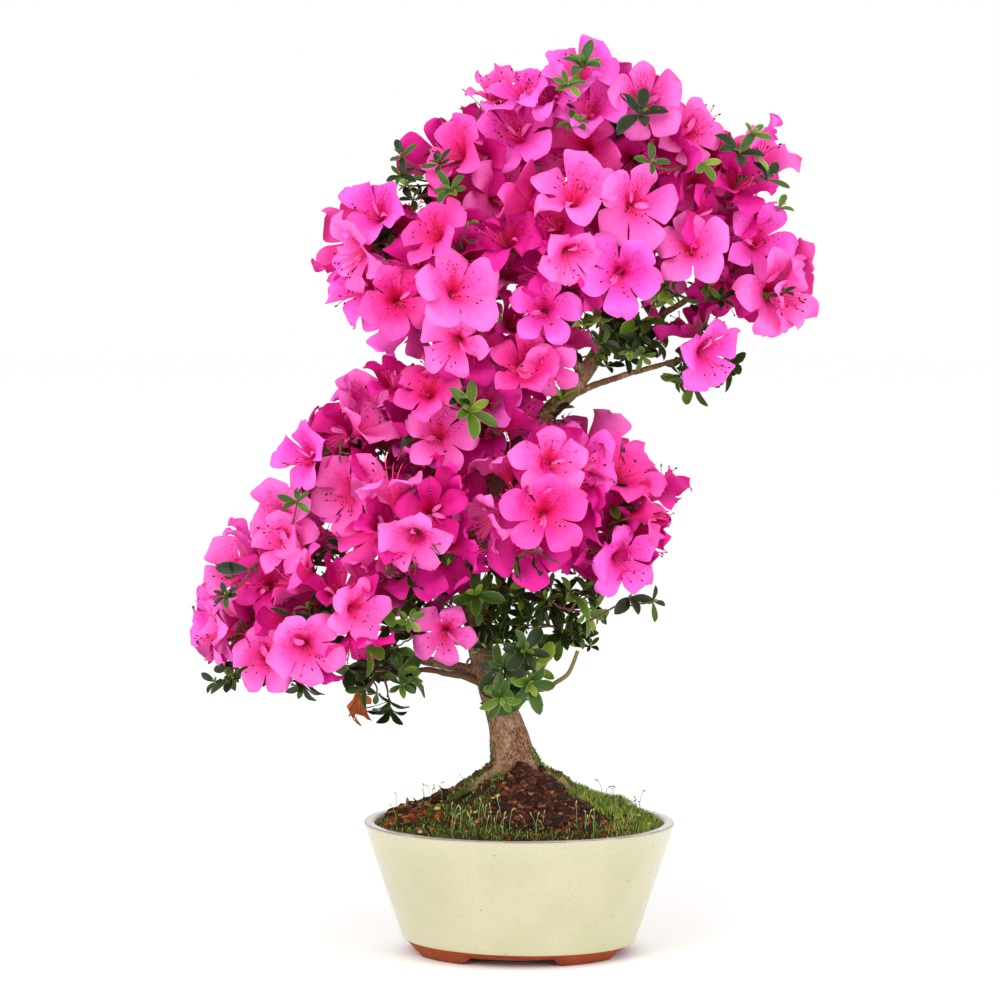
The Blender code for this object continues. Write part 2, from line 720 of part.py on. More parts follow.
def grown_bloom(spot):
    return grown_star(spot, PETALS, PETAL_OUTLINE, PETAL_RISE, -BLOOM_THROAT, -BLOOM_BACK)


def grown_whorl(spot):
    return grown_star(spot, LEAVES_IN_WHORL, LEAF_OUTLINE, LEAF_RISE, WHORL_TOP, -WHORL_FOOT)


# The plan: twigs that branch from each mass's one stem to its flowers and leaf whorls
class Spray:
    """The twigs, flowers and leaf whorls of one mass."""

    def __init__(self, mass):
        self.mass = mass
        self.dice = random.Random(mass.seed)
        self.start, self.elbow = stems[mass.name]
        self.nodes = [self.elbow]
        self.twigs = []
        self.blooms = []
        self.whorls = []
        heart = self.elbow.lerp(mass.middle, MAIN_TWIG_SHARE)
        if is_free(grown_stick(self.elbow, heart, TWIG_STEM, TWIG_STEM), mass.name):
            self.add_twig(self.elbow, heart, TWIG_STEM * 0.9, TWIG_STEM * 0.75)
            count = int((heart - self.elbow).length / TWIG_SPACING)
            self.nodes += [self.elbow.lerp(heart, (k + 1) / count) for k in range(count)]

    def add_twig(self, a, b, ra, rb):
        self.twigs.append((a, b, ra, rb))
        claim(grown_stick(a, b, ra, rb), self.mass.name)

    def reach_by_twig(self, end):
        """Join a tip to the nearest twig that it can be reached from."""
        for node in sorted(self.nodes, key=lambda n: (n - end).length)[:NEAREST_JOINTS]:
            if (node - end).length < TWIG_SHORTEST:
                continue
            if is_free(grown_stick(node, end, TWIG_START, TWIG_END), self.mass.name):
                self.add_twig(node, end, TWIG_START, TWIG_END)
                self.nodes = [n for n in self.nodes if (n - node).length > TWIG_SPACING * 0.8]
                self.nodes += [node.lerp(end, t) for t in TWIG_JOINTS]
                return True
        return False

    def try_bloom(self, spot, skin, spacing):
        at, _, _, size = spot
        if any((at - other[0]).length < spacing * (size + other[3]) for other in self.blooms):
            return False
        body = grown_bloom(spot)
        if not in_own_space(self.mass, at, skin, 0.0):
            return False
        if not all(in_own_space(self.mass, p, skin + SKIN_LEAN) for p in body[0]):
            return False
        if not is_free(body, self.mass.name):
            return False
        if not self.reach_by_twig(seat_of(spot, BLOOM_SEAT, PETALS)):
            return False
        self.blooms.append(spot)
        claim(body, self.mass.name)
        return True

    def try_whorl(self, spot, skin):
        at, _, _, size = spot
        if any((at - other[0]).length < WHORL_SPACING * size for other in self.whorls):
            return False
        if any((at - other[0]).length < WHORL_TO_BLOOM * other[3] for other in self.blooms):
            return False
        body = grown_whorl(spot)
        if not in_own_space(self.mass, at, skin, 0.0):
            return False
        if not all(in_own_space(self.mass, p, skin + SKIN_LEAN) for p in body[0]):
            return False
        if not is_free(body, self.mass.name):
            return False
        if not self.reach_by_twig(seat_of(spot, WHORL_SEAT, LEAVES_IN_WHORL)):
            return False
        self.whorls.append(spot)
        claim(body, self.mass.name)
        return True

    def place(self, way, push):
        """A point on the way from the middle of the mass to its skin."""
        r = self.mass.half_sizes
        return self.mass.middle + Vector((way.x * r.x, way.y * r.y, way.z * r.z)) * push

    def way_out(self, lift):
        dice = self.dice
        return Vector((dice.gauss(0, 1), dice.gauss(0, 1), dice.gauss(lift, 1))).normalized()

    def show_blooms(self):
        """The flowers that stand out on the front."""
        mass = self.mass
        for x, z, turn, tilt, share in mass.show:
            dx = (x * MM - mass.middle.x) / mass.half_sizes.x
            dz = (z * MM - mass.middle.z) / mass.half_sizes.z
            depth = math.sqrt(max(0.0, 1.0 - dx * dx - dz * dz))
            turn, tilt = math.radians(turn), math.radians(tilt)
            facing = Vector((math.sin(turn) * math.cos(tilt), -math.cos(turn) * math.cos(tilt),
                             math.sin(tilt)))
            roll = self.dice.uniform(0, 2 * math.pi)
            for step in range(SHOW_STEPS):
                push = SHOW_DEPTH - SHOW_STEP_IN * step
                at = Vector((x * MM, mass.middle.y - mass.half_sizes.y * depth * push, z * MM))
                at = at.lerp(mass.middle, 0.012 * step)
                size = BLOOM_REACH * share * (1.0 - 0.01 * step)
                if self.try_bloom((at, facing, roll, size), SHOW_SKIN, SHOW_SPACING):
                    break

    def fill_blooms(self):
        dice = self.dice
        misses = 0
        while len(self.blooms) < self.mass.blooms and misses < BLOOM_TRIES:
            way = self.way_out(0.3)
            at = self.place(way, dice.uniform(*BLOOM_DEPTHS))
            stray = Vector((dice.gauss(0, 0.25), dice.gauss(0, 0.25), dice.gauss(0.1, 0.2)))
            size = BLOOM_REACH * (dice.uniform(1.0, 1.08) - 0.2 * misses / BLOOM_TRIES)
            spot = (at, (way + stray).normalized(), dice.uniform(0, 2 * math.pi), size)
            if way.z < -0.5 or not self.try_bloom(spot, 1.0, BLOOM_SPACING):
                misses += 1

    def fill_whorls(self):
        dice = self.dice
        misses = 0
        while len(self.whorls) < self.mass.whorls and misses < WHORL_TRIES:
            way = self.way_out(-0.25)
            at = self.place(way, dice.uniform(*WHORL_DEPTHS))
            stray = Vector((dice.gauss(0, 0.3), dice.gauss(0, 0.3), 0.35))
            size = LEAF_LENGTH * (dice.uniform(0.85, 1.05) - 0.2 * misses / WHORL_TRIES)
            spot = (at, (way + stray).normalized(), dice.uniform(0, 2 * math.pi), size)
            if not self.try_whorl(spot, 1.0):
                misses += 1


sprays = [Spray(mass) for mass in masses]
for spray in sprays:
    spray.show_blooms()
for spray in sprays:
    spray.fill_blooms()
for spray in sprays:
    spray.fill_whorls()


# Building blocks of a mass
def three_sided(a, b, ra, rb, bm):
    way = b - a
    turn = way.to_track_quat("Z", "X").to_matrix().to_4x4()
    place = Matrix.Translation((a + b) / 2) @ turn
    bmesh.ops.create_cone(bm, cap_ends=True, segments=3, radius1=ra, radius2=rb,
                          depth=way.length, matrix=place)


def place_body(bm, verts, at, facing, roll, size):
    turn = Matrix(axes_for(facing, roll)).transposed().to_4x4()
    bmesh.ops.transform(bm, matrix=Matrix.Translation(at) @ turn @ Matrix.Scale(size, 4), verts=verts)


def star_body(bm, count, outline, rise, top, foot):
    """A flat-ended round body whose rim is drawn out into points."""
    made = bmesh.ops.create_uvsphere(bm, u_segments=count, v_segments=2, radius=1.0)
    rim = []
    for vert in made["verts"]:
        if abs(vert.co.z) > 0.5:
            vert.co = Vector((0, 0, top if vert.co.z > 0 else foot))
        else:
            rim.append(vert)
    rim.sort(key=lambda vert: math.atan2(vert.co.y, vert.co.x))
    for i, vert in enumerate(rim):
        angle = 2 * math.pi * i / count
        k = i % len(outline)
        vert.co = Vector((math.cos(angle) * outline[k], math.sin(angle) * outline[k], rise[k]))
    return made["verts"]


def bloom_body(spot, bm):
    verts = star_body(bm, PETALS * len(PETAL_OUTLINE), PETAL_OUTLINE, PETAL_RISE,
                      -BLOOM_THROAT, -BLOOM_BACK)
    place_body(bm, verts, *spot)


def whorl_body(spot, bm):
    verts = star_body(bm, LEAVES_IN_WHORL * len(LEAF_OUTLINE), LEAF_OUTLINE, LEAF_RISE,
                      WHORL_TOP, -WHORL_FOOT)
    place_body(bm, verts, *spot)


def loose_body(name, build, col):
    bm = bmesh.new()
    build(bm)
    bmesh.ops.recalc_face_normals(bm, faces=bm.faces)
    mesh = bpy.data.meshes.new(name)
    bm.to_mesh(mesh)
    bm.free()
    ob = bpy.data.objects.new(name, mesh)
    col.objects.link(ob)
    return ob


# Trunk: the tapering lean with its root flare, cut flat where it meets the mound
trunk = tube("trunk", trunk_line, TRUNK_SIDES)
flare = new_collection("root_flare")
for i, (angle, run, thick) in enumerate(ROOTS):
    angle = math.radians(angle)
    out = Vector((math.cos(angle), math.sin(angle), 0.0))
    crest = Vector(ROOT_CREST) + out * ROOT_CREST_OUT
    knee = Vector(ROOT_KNEE) + out * ROOT_KNEE_OUT
    toe = Vector(ROOT_TOE) + out * run
    toe.z -= max(0.0, run - ROOT_DIP_FROM) * ROOT_DIP_SLOPE
    rows = [(crest * MM, thick * 0.9 * MM), (knee * MM, thick * MM), (toe * MM, thick * 0.55 * MM)]
    root = tube("root_%d" % i, rows, ROOT_SIDES)
    PARTS.objects.unlink(root)
    flare.objects.link(root)
fuse(trunk, flare)
cut(trunk, mound_grown)
keep_largest(trunk)
trunk.data.materials.clear()
trunk.data.materials.append(material("trunk_bark", BARK, 0.8))
smooth(trunk)

# Boughs, each cut 0.3 mm clear of what it leaves
for name, (parent, _, _, _, _) in BOUGHS.items():
    bough = tube("bough_" + name, limbs[name], BOUGH_SIDES)
    sides = TRUNK_SIDES if parent == "trunk" else BOUGH_SIDES
    collar = tube("collar_" + name, limbs[parent], sides, FIT_GAP, CUTTERS)
    cut(bough, collar)
    remove_object(collar)
    keep_largest(bough)
    bough.data.materials.clear()
    bough.data.materials.append(material("bark_" + name, BARK, 0.8))
    smooth(bough)

# Masses of blossom and leaves
for spray in sprays:
    name = spray.mass.name
    bits = new_collection("bits_" + name)
    past = spray.elbow + (spray.elbow - spray.start).normalized() * MM
    body = loose_body("foliage_" + name, lambda bm: three_sided(
        spray.start, past, TWIG_STEM, TWIG_STEM, bm), PARTS)
    for a, b, ra, rb in spray.twigs:
        sunk = a - (b - a).normalized() * TWIG_ROOT_SUNK
        loose_body("twig", lambda bm: three_sided(sunk, b, ra, rb, bm), bits)
    for spot in spray.blooms:
        loose_body("bloom", lambda bm: bloom_body(spot, bm), bits)
    for spot in spray.whorls:
        loose_body("whorl", lambda bm: whorl_body(spot, bm), bits)
    fuse(body, bits)
    keep_largest(body)
    colour = LEAF if name in LEAFY else PETAL
    body.data.materials.clear()
    body.data.materials.append(material("blossom_" + name, colour, 0.6))
    print("%-18s %2d blooms of %d, %2d whorls of %d, %2d twigs %4d faces" % (
        name, len(spray.blooms), spray.mass.blooms, len(spray.whorls), spray.mass.whorls,
        len(spray.twigs), len(body.data.polygons)))

# The point between the feet under the middle of the whole plant is the origin
corners = [v.co for ob in PARTS.objects for v in ob.data.vertices]
low = [min(c[i] for c in corners) for i in range(3)]
high = [max(c[i] for c in corners) for i in range(3)]
shift = Vector((-(low[0] + high[0]) / 2, -(low[1] + high[1]) / 2, -low[2]))
for ob in list(PARTS.objects) + list(CUTTERS.objects):
    ob.data.transform(Matrix.Translation(shift))
print("size", [round(high[i] - low[i], 4) for i in range(3)], "shift", [round(s, 4) for s in shift])
print("faces in all", sum(len(ob.data.polygons) for ob in PARTS.objects))
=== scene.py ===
# %% [markdown]
# # A potted azalea bonsai in full flower
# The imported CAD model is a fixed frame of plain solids: a pot, a soil mound, a trunk, boughs and
# masses of blossom. This lesson dresses that frame. Each piece below either replaces a plain solid
# or sits on one, in the same place and at the same size, and is made from code, so that the same
# plant grows at each run.

# %% Load the frame
import math
import random
from itertools import combinations

import bpy
import numpy as np
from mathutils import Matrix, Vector, noise
from mathutils.bvhtree import BVHTree


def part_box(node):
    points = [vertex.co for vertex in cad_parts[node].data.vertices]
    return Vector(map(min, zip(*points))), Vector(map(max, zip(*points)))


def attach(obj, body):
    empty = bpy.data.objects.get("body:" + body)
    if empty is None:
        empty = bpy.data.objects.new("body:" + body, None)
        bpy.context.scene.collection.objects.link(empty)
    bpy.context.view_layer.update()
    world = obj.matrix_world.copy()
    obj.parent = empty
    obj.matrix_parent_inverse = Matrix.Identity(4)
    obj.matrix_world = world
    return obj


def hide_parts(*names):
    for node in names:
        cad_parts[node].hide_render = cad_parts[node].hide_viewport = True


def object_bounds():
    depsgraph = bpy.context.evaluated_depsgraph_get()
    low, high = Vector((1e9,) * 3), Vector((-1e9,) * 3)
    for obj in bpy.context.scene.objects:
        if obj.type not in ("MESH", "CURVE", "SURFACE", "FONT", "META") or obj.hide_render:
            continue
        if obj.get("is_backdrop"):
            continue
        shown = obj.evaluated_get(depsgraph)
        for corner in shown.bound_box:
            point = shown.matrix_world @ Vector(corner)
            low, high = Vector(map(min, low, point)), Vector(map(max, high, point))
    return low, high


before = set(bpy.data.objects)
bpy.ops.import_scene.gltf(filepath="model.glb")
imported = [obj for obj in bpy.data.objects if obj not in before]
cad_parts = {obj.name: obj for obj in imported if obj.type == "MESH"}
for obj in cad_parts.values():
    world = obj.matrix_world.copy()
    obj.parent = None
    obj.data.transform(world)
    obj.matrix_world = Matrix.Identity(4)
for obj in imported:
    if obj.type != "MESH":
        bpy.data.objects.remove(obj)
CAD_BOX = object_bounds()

MM = 0.001
FULL_TURN = 2 * math.pi
pot_low, pot_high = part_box("pot")
SHIFT = Vector(((pot_low.x + pot_high.x) / 2, (pot_low.y + pot_high.y) / 2, 0.0))
print("CAD box", [round(v, 4) for v in (*CAD_BOX[0], *CAD_BOX[1])], "pot axis", SHIFT)

# %% [markdown]
# ## Shader maths as Python
# A material in Blender is a graph of nodes. Wiring it by hand takes many lines, so two small
# classes do it: `Finish` owns a material and adds any node in one call, and `Value` wraps a
# socket so that `1 - mask * 0.5` adds the Math nodes. Colours go through Mix nodes, because a
# Math node would turn them grey.

# %% The classes behind every finish
class Value:
    """A node's output socket that takes part in Python arithmetic."""

    def __init__(self, finish, socket):
        self.finish = finish
        self.socket = socket

    def maths(self, operation, *others):
        inputs = dict(enumerate((self, *others)))
        return self.finish.node("ShaderNodeMath", {"operation": operation}, inputs)

    def __add__(self, other):
        return self.maths("ADD", other)

    __radd__ = __add__

    def __mul__(self, other):
        return self.maths("MULTIPLY", other)

    __rmul__ = __mul__

    def __sub__(self, other):
        return self.maths("SUBTRACT", other)

    def __rsub__(self, other):
        return (self * -1.0).maths("ADD", other)

    def step(self, low, high):
        """0 below low, 1 above high and a soft slope between them."""
        inputs = {"Value": self, "From Min": low, "From Max": high}
        return self.finish.node("ShaderNodeMapRange", {"interpolation_type": "SMOOTHSTEP"}, inputs)


def linear(red, green, blue):
    """A colour as seen on screen, 0 to 255, as the renderer counts light."""
    shares = [c / 255.0 for c in (red, green, blue)]
    return (*[s / 12.92 if s <= 0.04045 else ((s + 0.055) / 1.055) ** 2.4 for s in shares], 1.0)


class Finish:
    """One material, its main shader and the nodes that feed it."""

    def __init__(self, name, flat):
        self.material = bpy.data.materials.new(name)
        self.material.use_nodes = True
        self.tree = self.material.node_tree
        self.shader = self.tree.nodes["Principled BSDF"]
        self.material.diffuse_color = flat.get("Base Color", (0.5, 0.5, 0.5, 1.0))
        for socket, value in flat.items():
            self.shader.inputs[socket].default_value = value

    def node(self, kind, settings=None, inputs=None, output=0):
        made = self.tree.nodes.new(kind)
        for key, value in (settings or {}).items():
            setattr(made, key, value)
        for key, value in (inputs or {}).items():
            if isinstance(value, Value):
                self.tree.links.new(value.socket, made.inputs[key])
            else:
                made.inputs[key].default_value = value
        return Value(self, made.outputs[output])

    def place(self, stretch=(1.0, 1.0, 1.0)):
        """The point on the object, drawn out along its axes."""
        spot = self.node("ShaderNodeTexCoord", output="Object")
        return self.node("ShaderNodeVectorMath", {"operation": "MULTIPLY"}, {0: spot, 1: stretch})

    def along(self, axis):
        """How far the point lies along X, Y or Z."""
        return self.node("ShaderNodeSeparateXYZ", inputs={0: self.place()}, output=axis)

    def cloud(self, size, detail=3.0, roughness=0.55, stretch=(1.0, 1.0, 1.0)):
        """Soft noise whose blotches are about this size."""
        inputs = {"Vector": self.place(stretch), "Scale": 1.0 / size, "Detail": detail,
                  "Roughness": roughness}
        return self.node("ShaderNodeTexNoise", inputs=inputs)

    def cells(self, size, feature="F1", jitter=1.0):
        """Distance within cells of about this size."""
        inputs = {"Vector": self.place(), "Scale": 1.0 / size, "Randomness": jitter}
        return self.node("ShaderNodeTexVoronoi", {"feature": feature}, inputs)

    def mix(self, mask, low, high):
        """The colour low where the mask is 0 and high where it is 1."""
        return self.node("ShaderNodeMix", {"data_type": "RGBA"}, {0: mask, 6: low, 7: high}, 2)

    def ground(self, mask, low, high):
        """Start the base colour as a mix of two colours."""
        self.tone = self.mix(mask, linear(*low), linear(*high))

    def coat(self, mask, colour):
        """Lay a further colour over the base colour where the mask is 1."""
        self.tone = self.mix(mask, self.tone, linear(*colour))

    def close(self, roughness, height, strength, distance):
        """Feed the base colour, the roughness and a bump from a height to the shader."""
        bump = {"Height": height, "Strength": strength, "Distance": distance}
        self.feed("Base Color", self.tone)
        self.feed("Roughness", roughness)
        self.feed("Normal", self.node("ShaderNodeBump", inputs=bump))

    def feed(self, socket, value):
        self.tree.links.new(value.socket, self.shader.inputs[socket])


def plain(name, colour, roughness, shine):
    """A finish of one plain colour."""
    return Finish(name, {"Base Color": linear(*colour), "Roughness": roughness,
                         "Specular IOR Level": shine})

# %% [markdown]
# ## Gathering many small shapes into one piece
# A flowering crown has thousands of petals and leaves. One object for each would choke Blender
# and the export, so a `Bundle` collects corner points and faces as plain arrays, notes which
# finish each face takes, and makes one joined mesh at the end.

# %% The bundle and the tube
class Bundle:
    """Corner points, faces and a finish for each face, for one joined mesh."""

    def __init__(self):
        self.points = []
        self.faces = []
        self.picks = []
        self.count = 0

    def add(self, points, faces, picks=0):
        """Faces are rows of corner numbers; picks is one finish number, or one a face."""
        faces = faces.tolist() if isinstance(faces, np.ndarray) else faces
        self.faces += [[corner + self.count for corner in face] for face in faces]
        self.picks += np.broadcast_to(picks, len(faces)).tolist()
        self.points.append(np.asarray(points, float))
        self.count += len(points)

    def mesh(self, name):
        """The gathered faces as a mesh in the plant's place."""
        mesh = bpy.data.meshes.new(name)
        points = np.concatenate(self.points) + np.array(SHIFT)
        mesh.from_pydata(points.tolist(), [], self.faces)
        return mesh

    def make(self, name, finishes, slot, replaced=()):
        """Turn the bundle into a piece that rides on the plant's one body."""
        mesh = self.mesh(name)
        for finish in finishes:
            mesh.materials.append(finish.material)
        mesh.polygons.foreach_set("material_index", self.picks)
        mesh.polygons.foreach_set("use_smooth", [True] * len(self.faces))
        mesh.update()
        piece = shown(bpy.data.objects.new(name, mesh))
        return settle(piece, replaced)


def shown(thing):
    """Put a piece, a light or a camera into the scene."""
    bpy.context.scene.collection.objects.link(thing)
    return thing


def settle(piece, replaced=()):
    """Tie a piece to the frame."""
    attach(piece, "root")
    if replaced:
        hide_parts(*replaced)
    triangles = sum(len(face.vertices) - 2 for face in piece.data.polygons)
    print("%-24s %7d triangles" % (piece.name, triangles))
    return piece


def grid_faces(rows, columns, wrap=False):
    """Quads of a net of rows and columns; wrap closes each row on itself."""
    span = columns if wrap else columns - 1
    i, j = np.meshgrid(np.arange(rows - 1), np.arange(span), indexing="ij")
    after = (j + 1) % columns
    quads = [i * columns + j, i * columns + after, (i + 1) * columns + after, (i + 1) * columns + j]
    return np.stack(quads, axis=-1).reshape(-1, 4)


def unit(vector):
    return vector / max(np.linalg.norm(vector), 1e-12)


def ring_ways(way, helper, sides):
    """Directions all round a way; helper is any direction that isn't along it."""
    side = unit(np.cross(way, helper))
    angles = np.arange(sides) * FULL_TURN / sides
    return np.outer(np.cos(angles), side) + np.outer(np.sin(angles), np.cross(way, side))


def add_tube(bundle, path, radii, sides, pick=0, relief=None):
    """A tube with closed ends; relief(ring, angles) is how far each point stands out."""
    path = np.asarray(path, float)
    ways = np.gradient(path, axis=0)
    side = unit(np.cross(ways[0], (0.31, 0.77, 0.55)))
    angles = np.arange(sides) * FULL_TURN / sides
    rings = []
    for i, (spot, way) in enumerate(zip(path, ways)):
        way = unit(way)
        side = unit(side - way * side.dot(way))
        up = np.cross(way, side)
        out = np.outer(np.cos(angles), side) + np.outer(np.sin(angles), up)
        reach = radii[i] + (relief(i, angles) if relief else 0.0)
        rings.append(spot + out * np.broadcast_to(reach, sides)[:, None])
    last = (len(path) - 1) * sides
    ends = [list(range(sides))[::-1], list(range(last, last + sides))]
    faces = grid_faces(len(path), sides, wrap=True).tolist() + ends
    bundle.add(np.concatenate(rings), faces, pick)


def add_ball(bundle, middle, sizes, way, pick, rows=4, sides=6):
    """A small closed egg: its half length and half width along a direction."""
    way = unit(np.asarray(way, float))
    around = ring_ways(way, (0.3, 0.5, 0.8), sides)
    long, wide = sizes
    points = [middle - way * long]
    for k in range(1, rows):
        lean = math.pi * k / rows
        points.extend(middle - way * long * math.cos(lean) + around * wide * math.sin(lean))
    points.append(middle + way * long)
    last = len(points) - 1
    faces = []
    for k in range(sides):
        after = (k + 1) % sides
        faces += [[0, 1 + after, 1 + k], [last, last - sides + k, last - sides + after]]
    faces += (grid_faces(rows - 1, sides, wrap=True) + 1).tolist()
    bundle.add(np.array(points), faces, pick)


def rolled(points, angle):
    """Turn points about their upright axis."""
    cos, sin = math.cos(angle), math.sin(angle)
    x, y, z = points[..., 0], points[..., 1], points[..., 2]
    return np.stack([x * cos - y * sin, x * sin + y * cos, z], axis=-1)


def bend(a, turn, b, steps):
    """Points along a soft curve from a to b that is drawn towards turn."""
    t = np.linspace(0.0, 1.0, steps)[:, None]
    return np.array(a) * (1 - t) ** 2 + np.array(turn) * 2 * t * (1 - t) + np.array(b) * t ** 2


def smooth_step(x, low, high):
    t = np.clip((np.asarray(x, float) - low) / (high - low), 0.0, 1.0)
    return t * t * (3 - 2 * t)


def raised(spot, height):
    return spot + np.array([0.0, 0.0, height])

# %% [markdown]
# ## The pot
# The real pot is thrown oval stoneware: a plain tapering bowl with a flat lip, a cream glaze that
# stops just above the foot, and bare red clay below. A lathe profile spun round an axis gives
# such a bowl, and pressing the spin to an oval and turning it a little sets it as it stands.
# The glaze and the clay are two pieces, since each has its own finish and the glaze has a
# thickness that shows as a fine step.

# %% Pot measures, in mm, and the spin
POT_OVAL = 0.853
POT_TURN = math.radians(-5.0)
POT_STEPS = 320
GLAZE_LINE = 7.5
GLAZE_TILT = -0.014
TILT_BELOW, TILT_FADE = 40.0, 32.0
LIP_FROM, LIP_TOP = 60.0, 73.0
LIP_WAVES, LIP_WAVE_HEIGHT, LIP_WAVE_START = 3, 0.12, 0.7
FOOT_HALF = 58.6
FOOT_HOLLOW = 4.2
FOOT_GAP_TOP = 3.8
FOOT_GAP_HALVES = (26.8, 22.8)
FOOT_GAP_LEAN = 1.1


def spin(profile):
    """The points of a half-section, in mm, spun and pressed oval, in rows."""
    profile = np.asarray(profile, float)
    angles = np.arange(POT_STEPS) * FULL_TURN / POT_STEPS
    x = np.outer(profile[:, 0], np.cos(angles))
    y = np.outer(profile[:, 0], np.sin(angles)) * POT_OVAL
    z = np.repeat(profile[:, 1:2], POT_STEPS, axis=1)
    return np.stack([x, y, z], axis=-1)


def turn_pot(points):
    """From the pot's own straight axes, in mm, to the plant's frame, in metres."""
    return rolled(points, POT_TURN) * MM


def between(a, b, count):
    """Points on a straight stretch of a profile, without its end."""
    t = np.linspace(0.0, 1.0, count, endpoint=False)[:, None]
    return (np.array(a) * (1 - t) + np.array(b) * t).tolist()


def closed_spin(bundle, rows):
    """Add a net of rows that starts and ends on the axis."""
    count, steps, _ = rows.shape
    inner = rows[1:-1].reshape(-1, 3)
    caps = np.array([rows[0].mean(axis=0), rows[-1].mean(axis=0)])
    faces = grid_faces(count - 2, steps, wrap=True).tolist()
    first, last, top = len(inner), len(inner) + 1, (count - 3) * steps
    for k in range(steps):
        after = (k + 1) % steps
        faces += [[first, after, k], [last, top + k, top + after]]
    bundle.add(np.concatenate([inner, caps]), faces)

# %% The glazed bowl
bowl_profile = [(0.0, 8.4), (62.6, 8.4), (64.3, GLAZE_LINE - 0.1), (64.8, GLAZE_LINE)]
bowl_profile += between((65.0, GLAZE_LINE + 0.5), (85.3, 68.6), 26)
bowl_profile += [(85.45, 69.6), (85.75, 70.6), (86.0, 71.5), (85.95, 72.2), (85.7, 72.7),
                 (85.2, LIP_TOP)]
bowl_profile += between((84.6, LIP_TOP), (81.4, LIP_TOP), 4)
bowl_profile += [(80.9, 72.85), (80.5, 72.5), (80.2, 71.9), (79.6, 70.0), (78.6, 66.0), (60.7, 12.0),
                 (0.0, 12.0)]
bowl_rows = spin(bowl_profile)
height = bowl_rows[..., 2]
tilt_share = smooth_step(TILT_BELOW - height, 0.0, TILT_FADE) * (height < TILT_BELOW)
height += bowl_rows[..., 0] * GLAZE_TILT * tilt_share
turns = np.arange(POT_STEPS) / POT_STEPS * LIP_WAVES
hand_wave = np.abs(np.sin(FULL_TURN * turns + LIP_WAVE_START)) * LIP_WAVE_HEIGHT
height -= hand_wave[None, :] * smooth_step(height, LIP_FROM, LIP_TOP)
bowl = Bundle()
closed_spin(bowl, turn_pot(bowl_rows))
print("the bowl has", len(bowl.faces), "faces")

# %% The bare foot, with the four gaps that part it into feet
foot_profile = [(0.0, FOOT_HOLLOW), (40.0, FOOT_HOLLOW), (47.0, FOOT_HOLLOW), (47.8, 3.7), (48.3, 2.2)]
foot_profile += [(48.7, 0.6), (49.3, 0.0), (53.0, 0.0), (57.4, 0.0), (58.3, 0.25)]
foot_profile += between((FOOT_HALF, 0.8), (64.5, 7.2), 8)
foot_profile += [(64.5, 7.2), (64.2, 8.2), (62.0, 8.9), (0.0, 8.9)]
foot_rows = spin(foot_profile)
gaps = [(half - np.abs(foot_rows[..., axis])) / FOOT_GAP_LEAN
        for axis, half in enumerate(FOOT_GAP_HALVES)]
lift = np.clip(np.maximum(*gaps), 0.0, FOOT_GAP_TOP)
height = foot_rows[..., 2]
lifted = lift + (GLAZE_LINE - lift) * height / GLAZE_LINE
height[:] = np.where(height < GLAZE_LINE, lifted, height)
height[:3] = FOOT_HOLLOW
height += foot_rows[..., 0] * GLAZE_TILT * smooth_step(height, 3.0, 8.0)
foot = Bundle()
closed_spin(foot, turn_pot(foot_rows))
print("the foot has", len(foot.faces), "faces")

# %% [markdown]
# ## Finishes of the pot
# The glaze is a glossy cream with a green cast. Seen close it has fine darker specks, a net of
# crazing, broad soft changes of tone where it ran thicker, and a brown line on the arris of the
# lip where it ran thin. Its upper part is painted a little lighter than its lower part, as painted
# shade. The red clay is matt, sandy and stained darker near the ground.

# %% Cream glaze
glaze = Finish("cream_glaze", {"Roughness": 0.22, "Coat Weight": 0.5, "Coat Roughness": 0.08,
                               "Specular IOR Level": 0.45})
z = glaze.along("Z")
crazing = 1 - glaze.cells(7 * MM, "DISTANCE_TO_EDGE", jitter=0.9).step(0.0, 0.035)
fine_specks = 1 - glaze.cells(1.3 * MM).step(0.12, 0.30)
crowding = glaze.cloud(7 * MM, 2.0).step(0.40, 0.60)
big_specks = 1 - glaze.cells(12 * MM).step(0.025, 0.05)
rolled_lip = z.step(0.0712, 0.0719)
worn = glaze.cloud(11 * MM, 3.0).step(0.3, 0.55)
arris = z.step(0.0720, 0.0725) * (1 - z.step(0.0728, 0.07296))
lip_top = z.step(0.07270, 0.07298)
lip_stain = lip_top * glaze.cloud(4 * MM, 4.0).step(0.55, 0.7)
hem = 1 - z.step(0.0085, 0.0105)
glaze.ground(glaze.cloud(38 * MM, 4.0).step(0.35, 0.7), (199, 194, 162), (190, 187, 150))
# Painted shade: the upper part of the bowl is a little lighter, so the lower part reads darker, as in
# shade.
glaze.coat(z.step(0.050, 0.072) * 0.5, (201, 198, 166))
glaze.coat(crazing * 0.05, (150, 140, 104))
glaze.coat(fine_specks * (0.15 + 0.45 * crowding), (158, 146, 100))
glaze.coat(big_specks * 0.85, (96, 80, 52))
glaze.coat(rolled_lip * 0.75, (186, 172, 158))
glaze.coat(arris * (0.30 + 0.5 * worn), (118, 98, 84))
glaze.coat(lip_top * 0.75, (198, 186, 178))
glaze.coat(lip_stain * 0.45, (150, 128, 112))
glaze.coat(hem * 0.35, (196, 184, 130))
waves = glaze.cloud(16 * MM, 2.0) * 0.8 + glaze.cloud(1.2 * MM, 2.0) * 0.05 - crazing * 0.03
glaze.close(glaze.cloud(5 * MM, 3.0) * 0.16 + 0.14, waves, 0.25, 0.6 * MM)

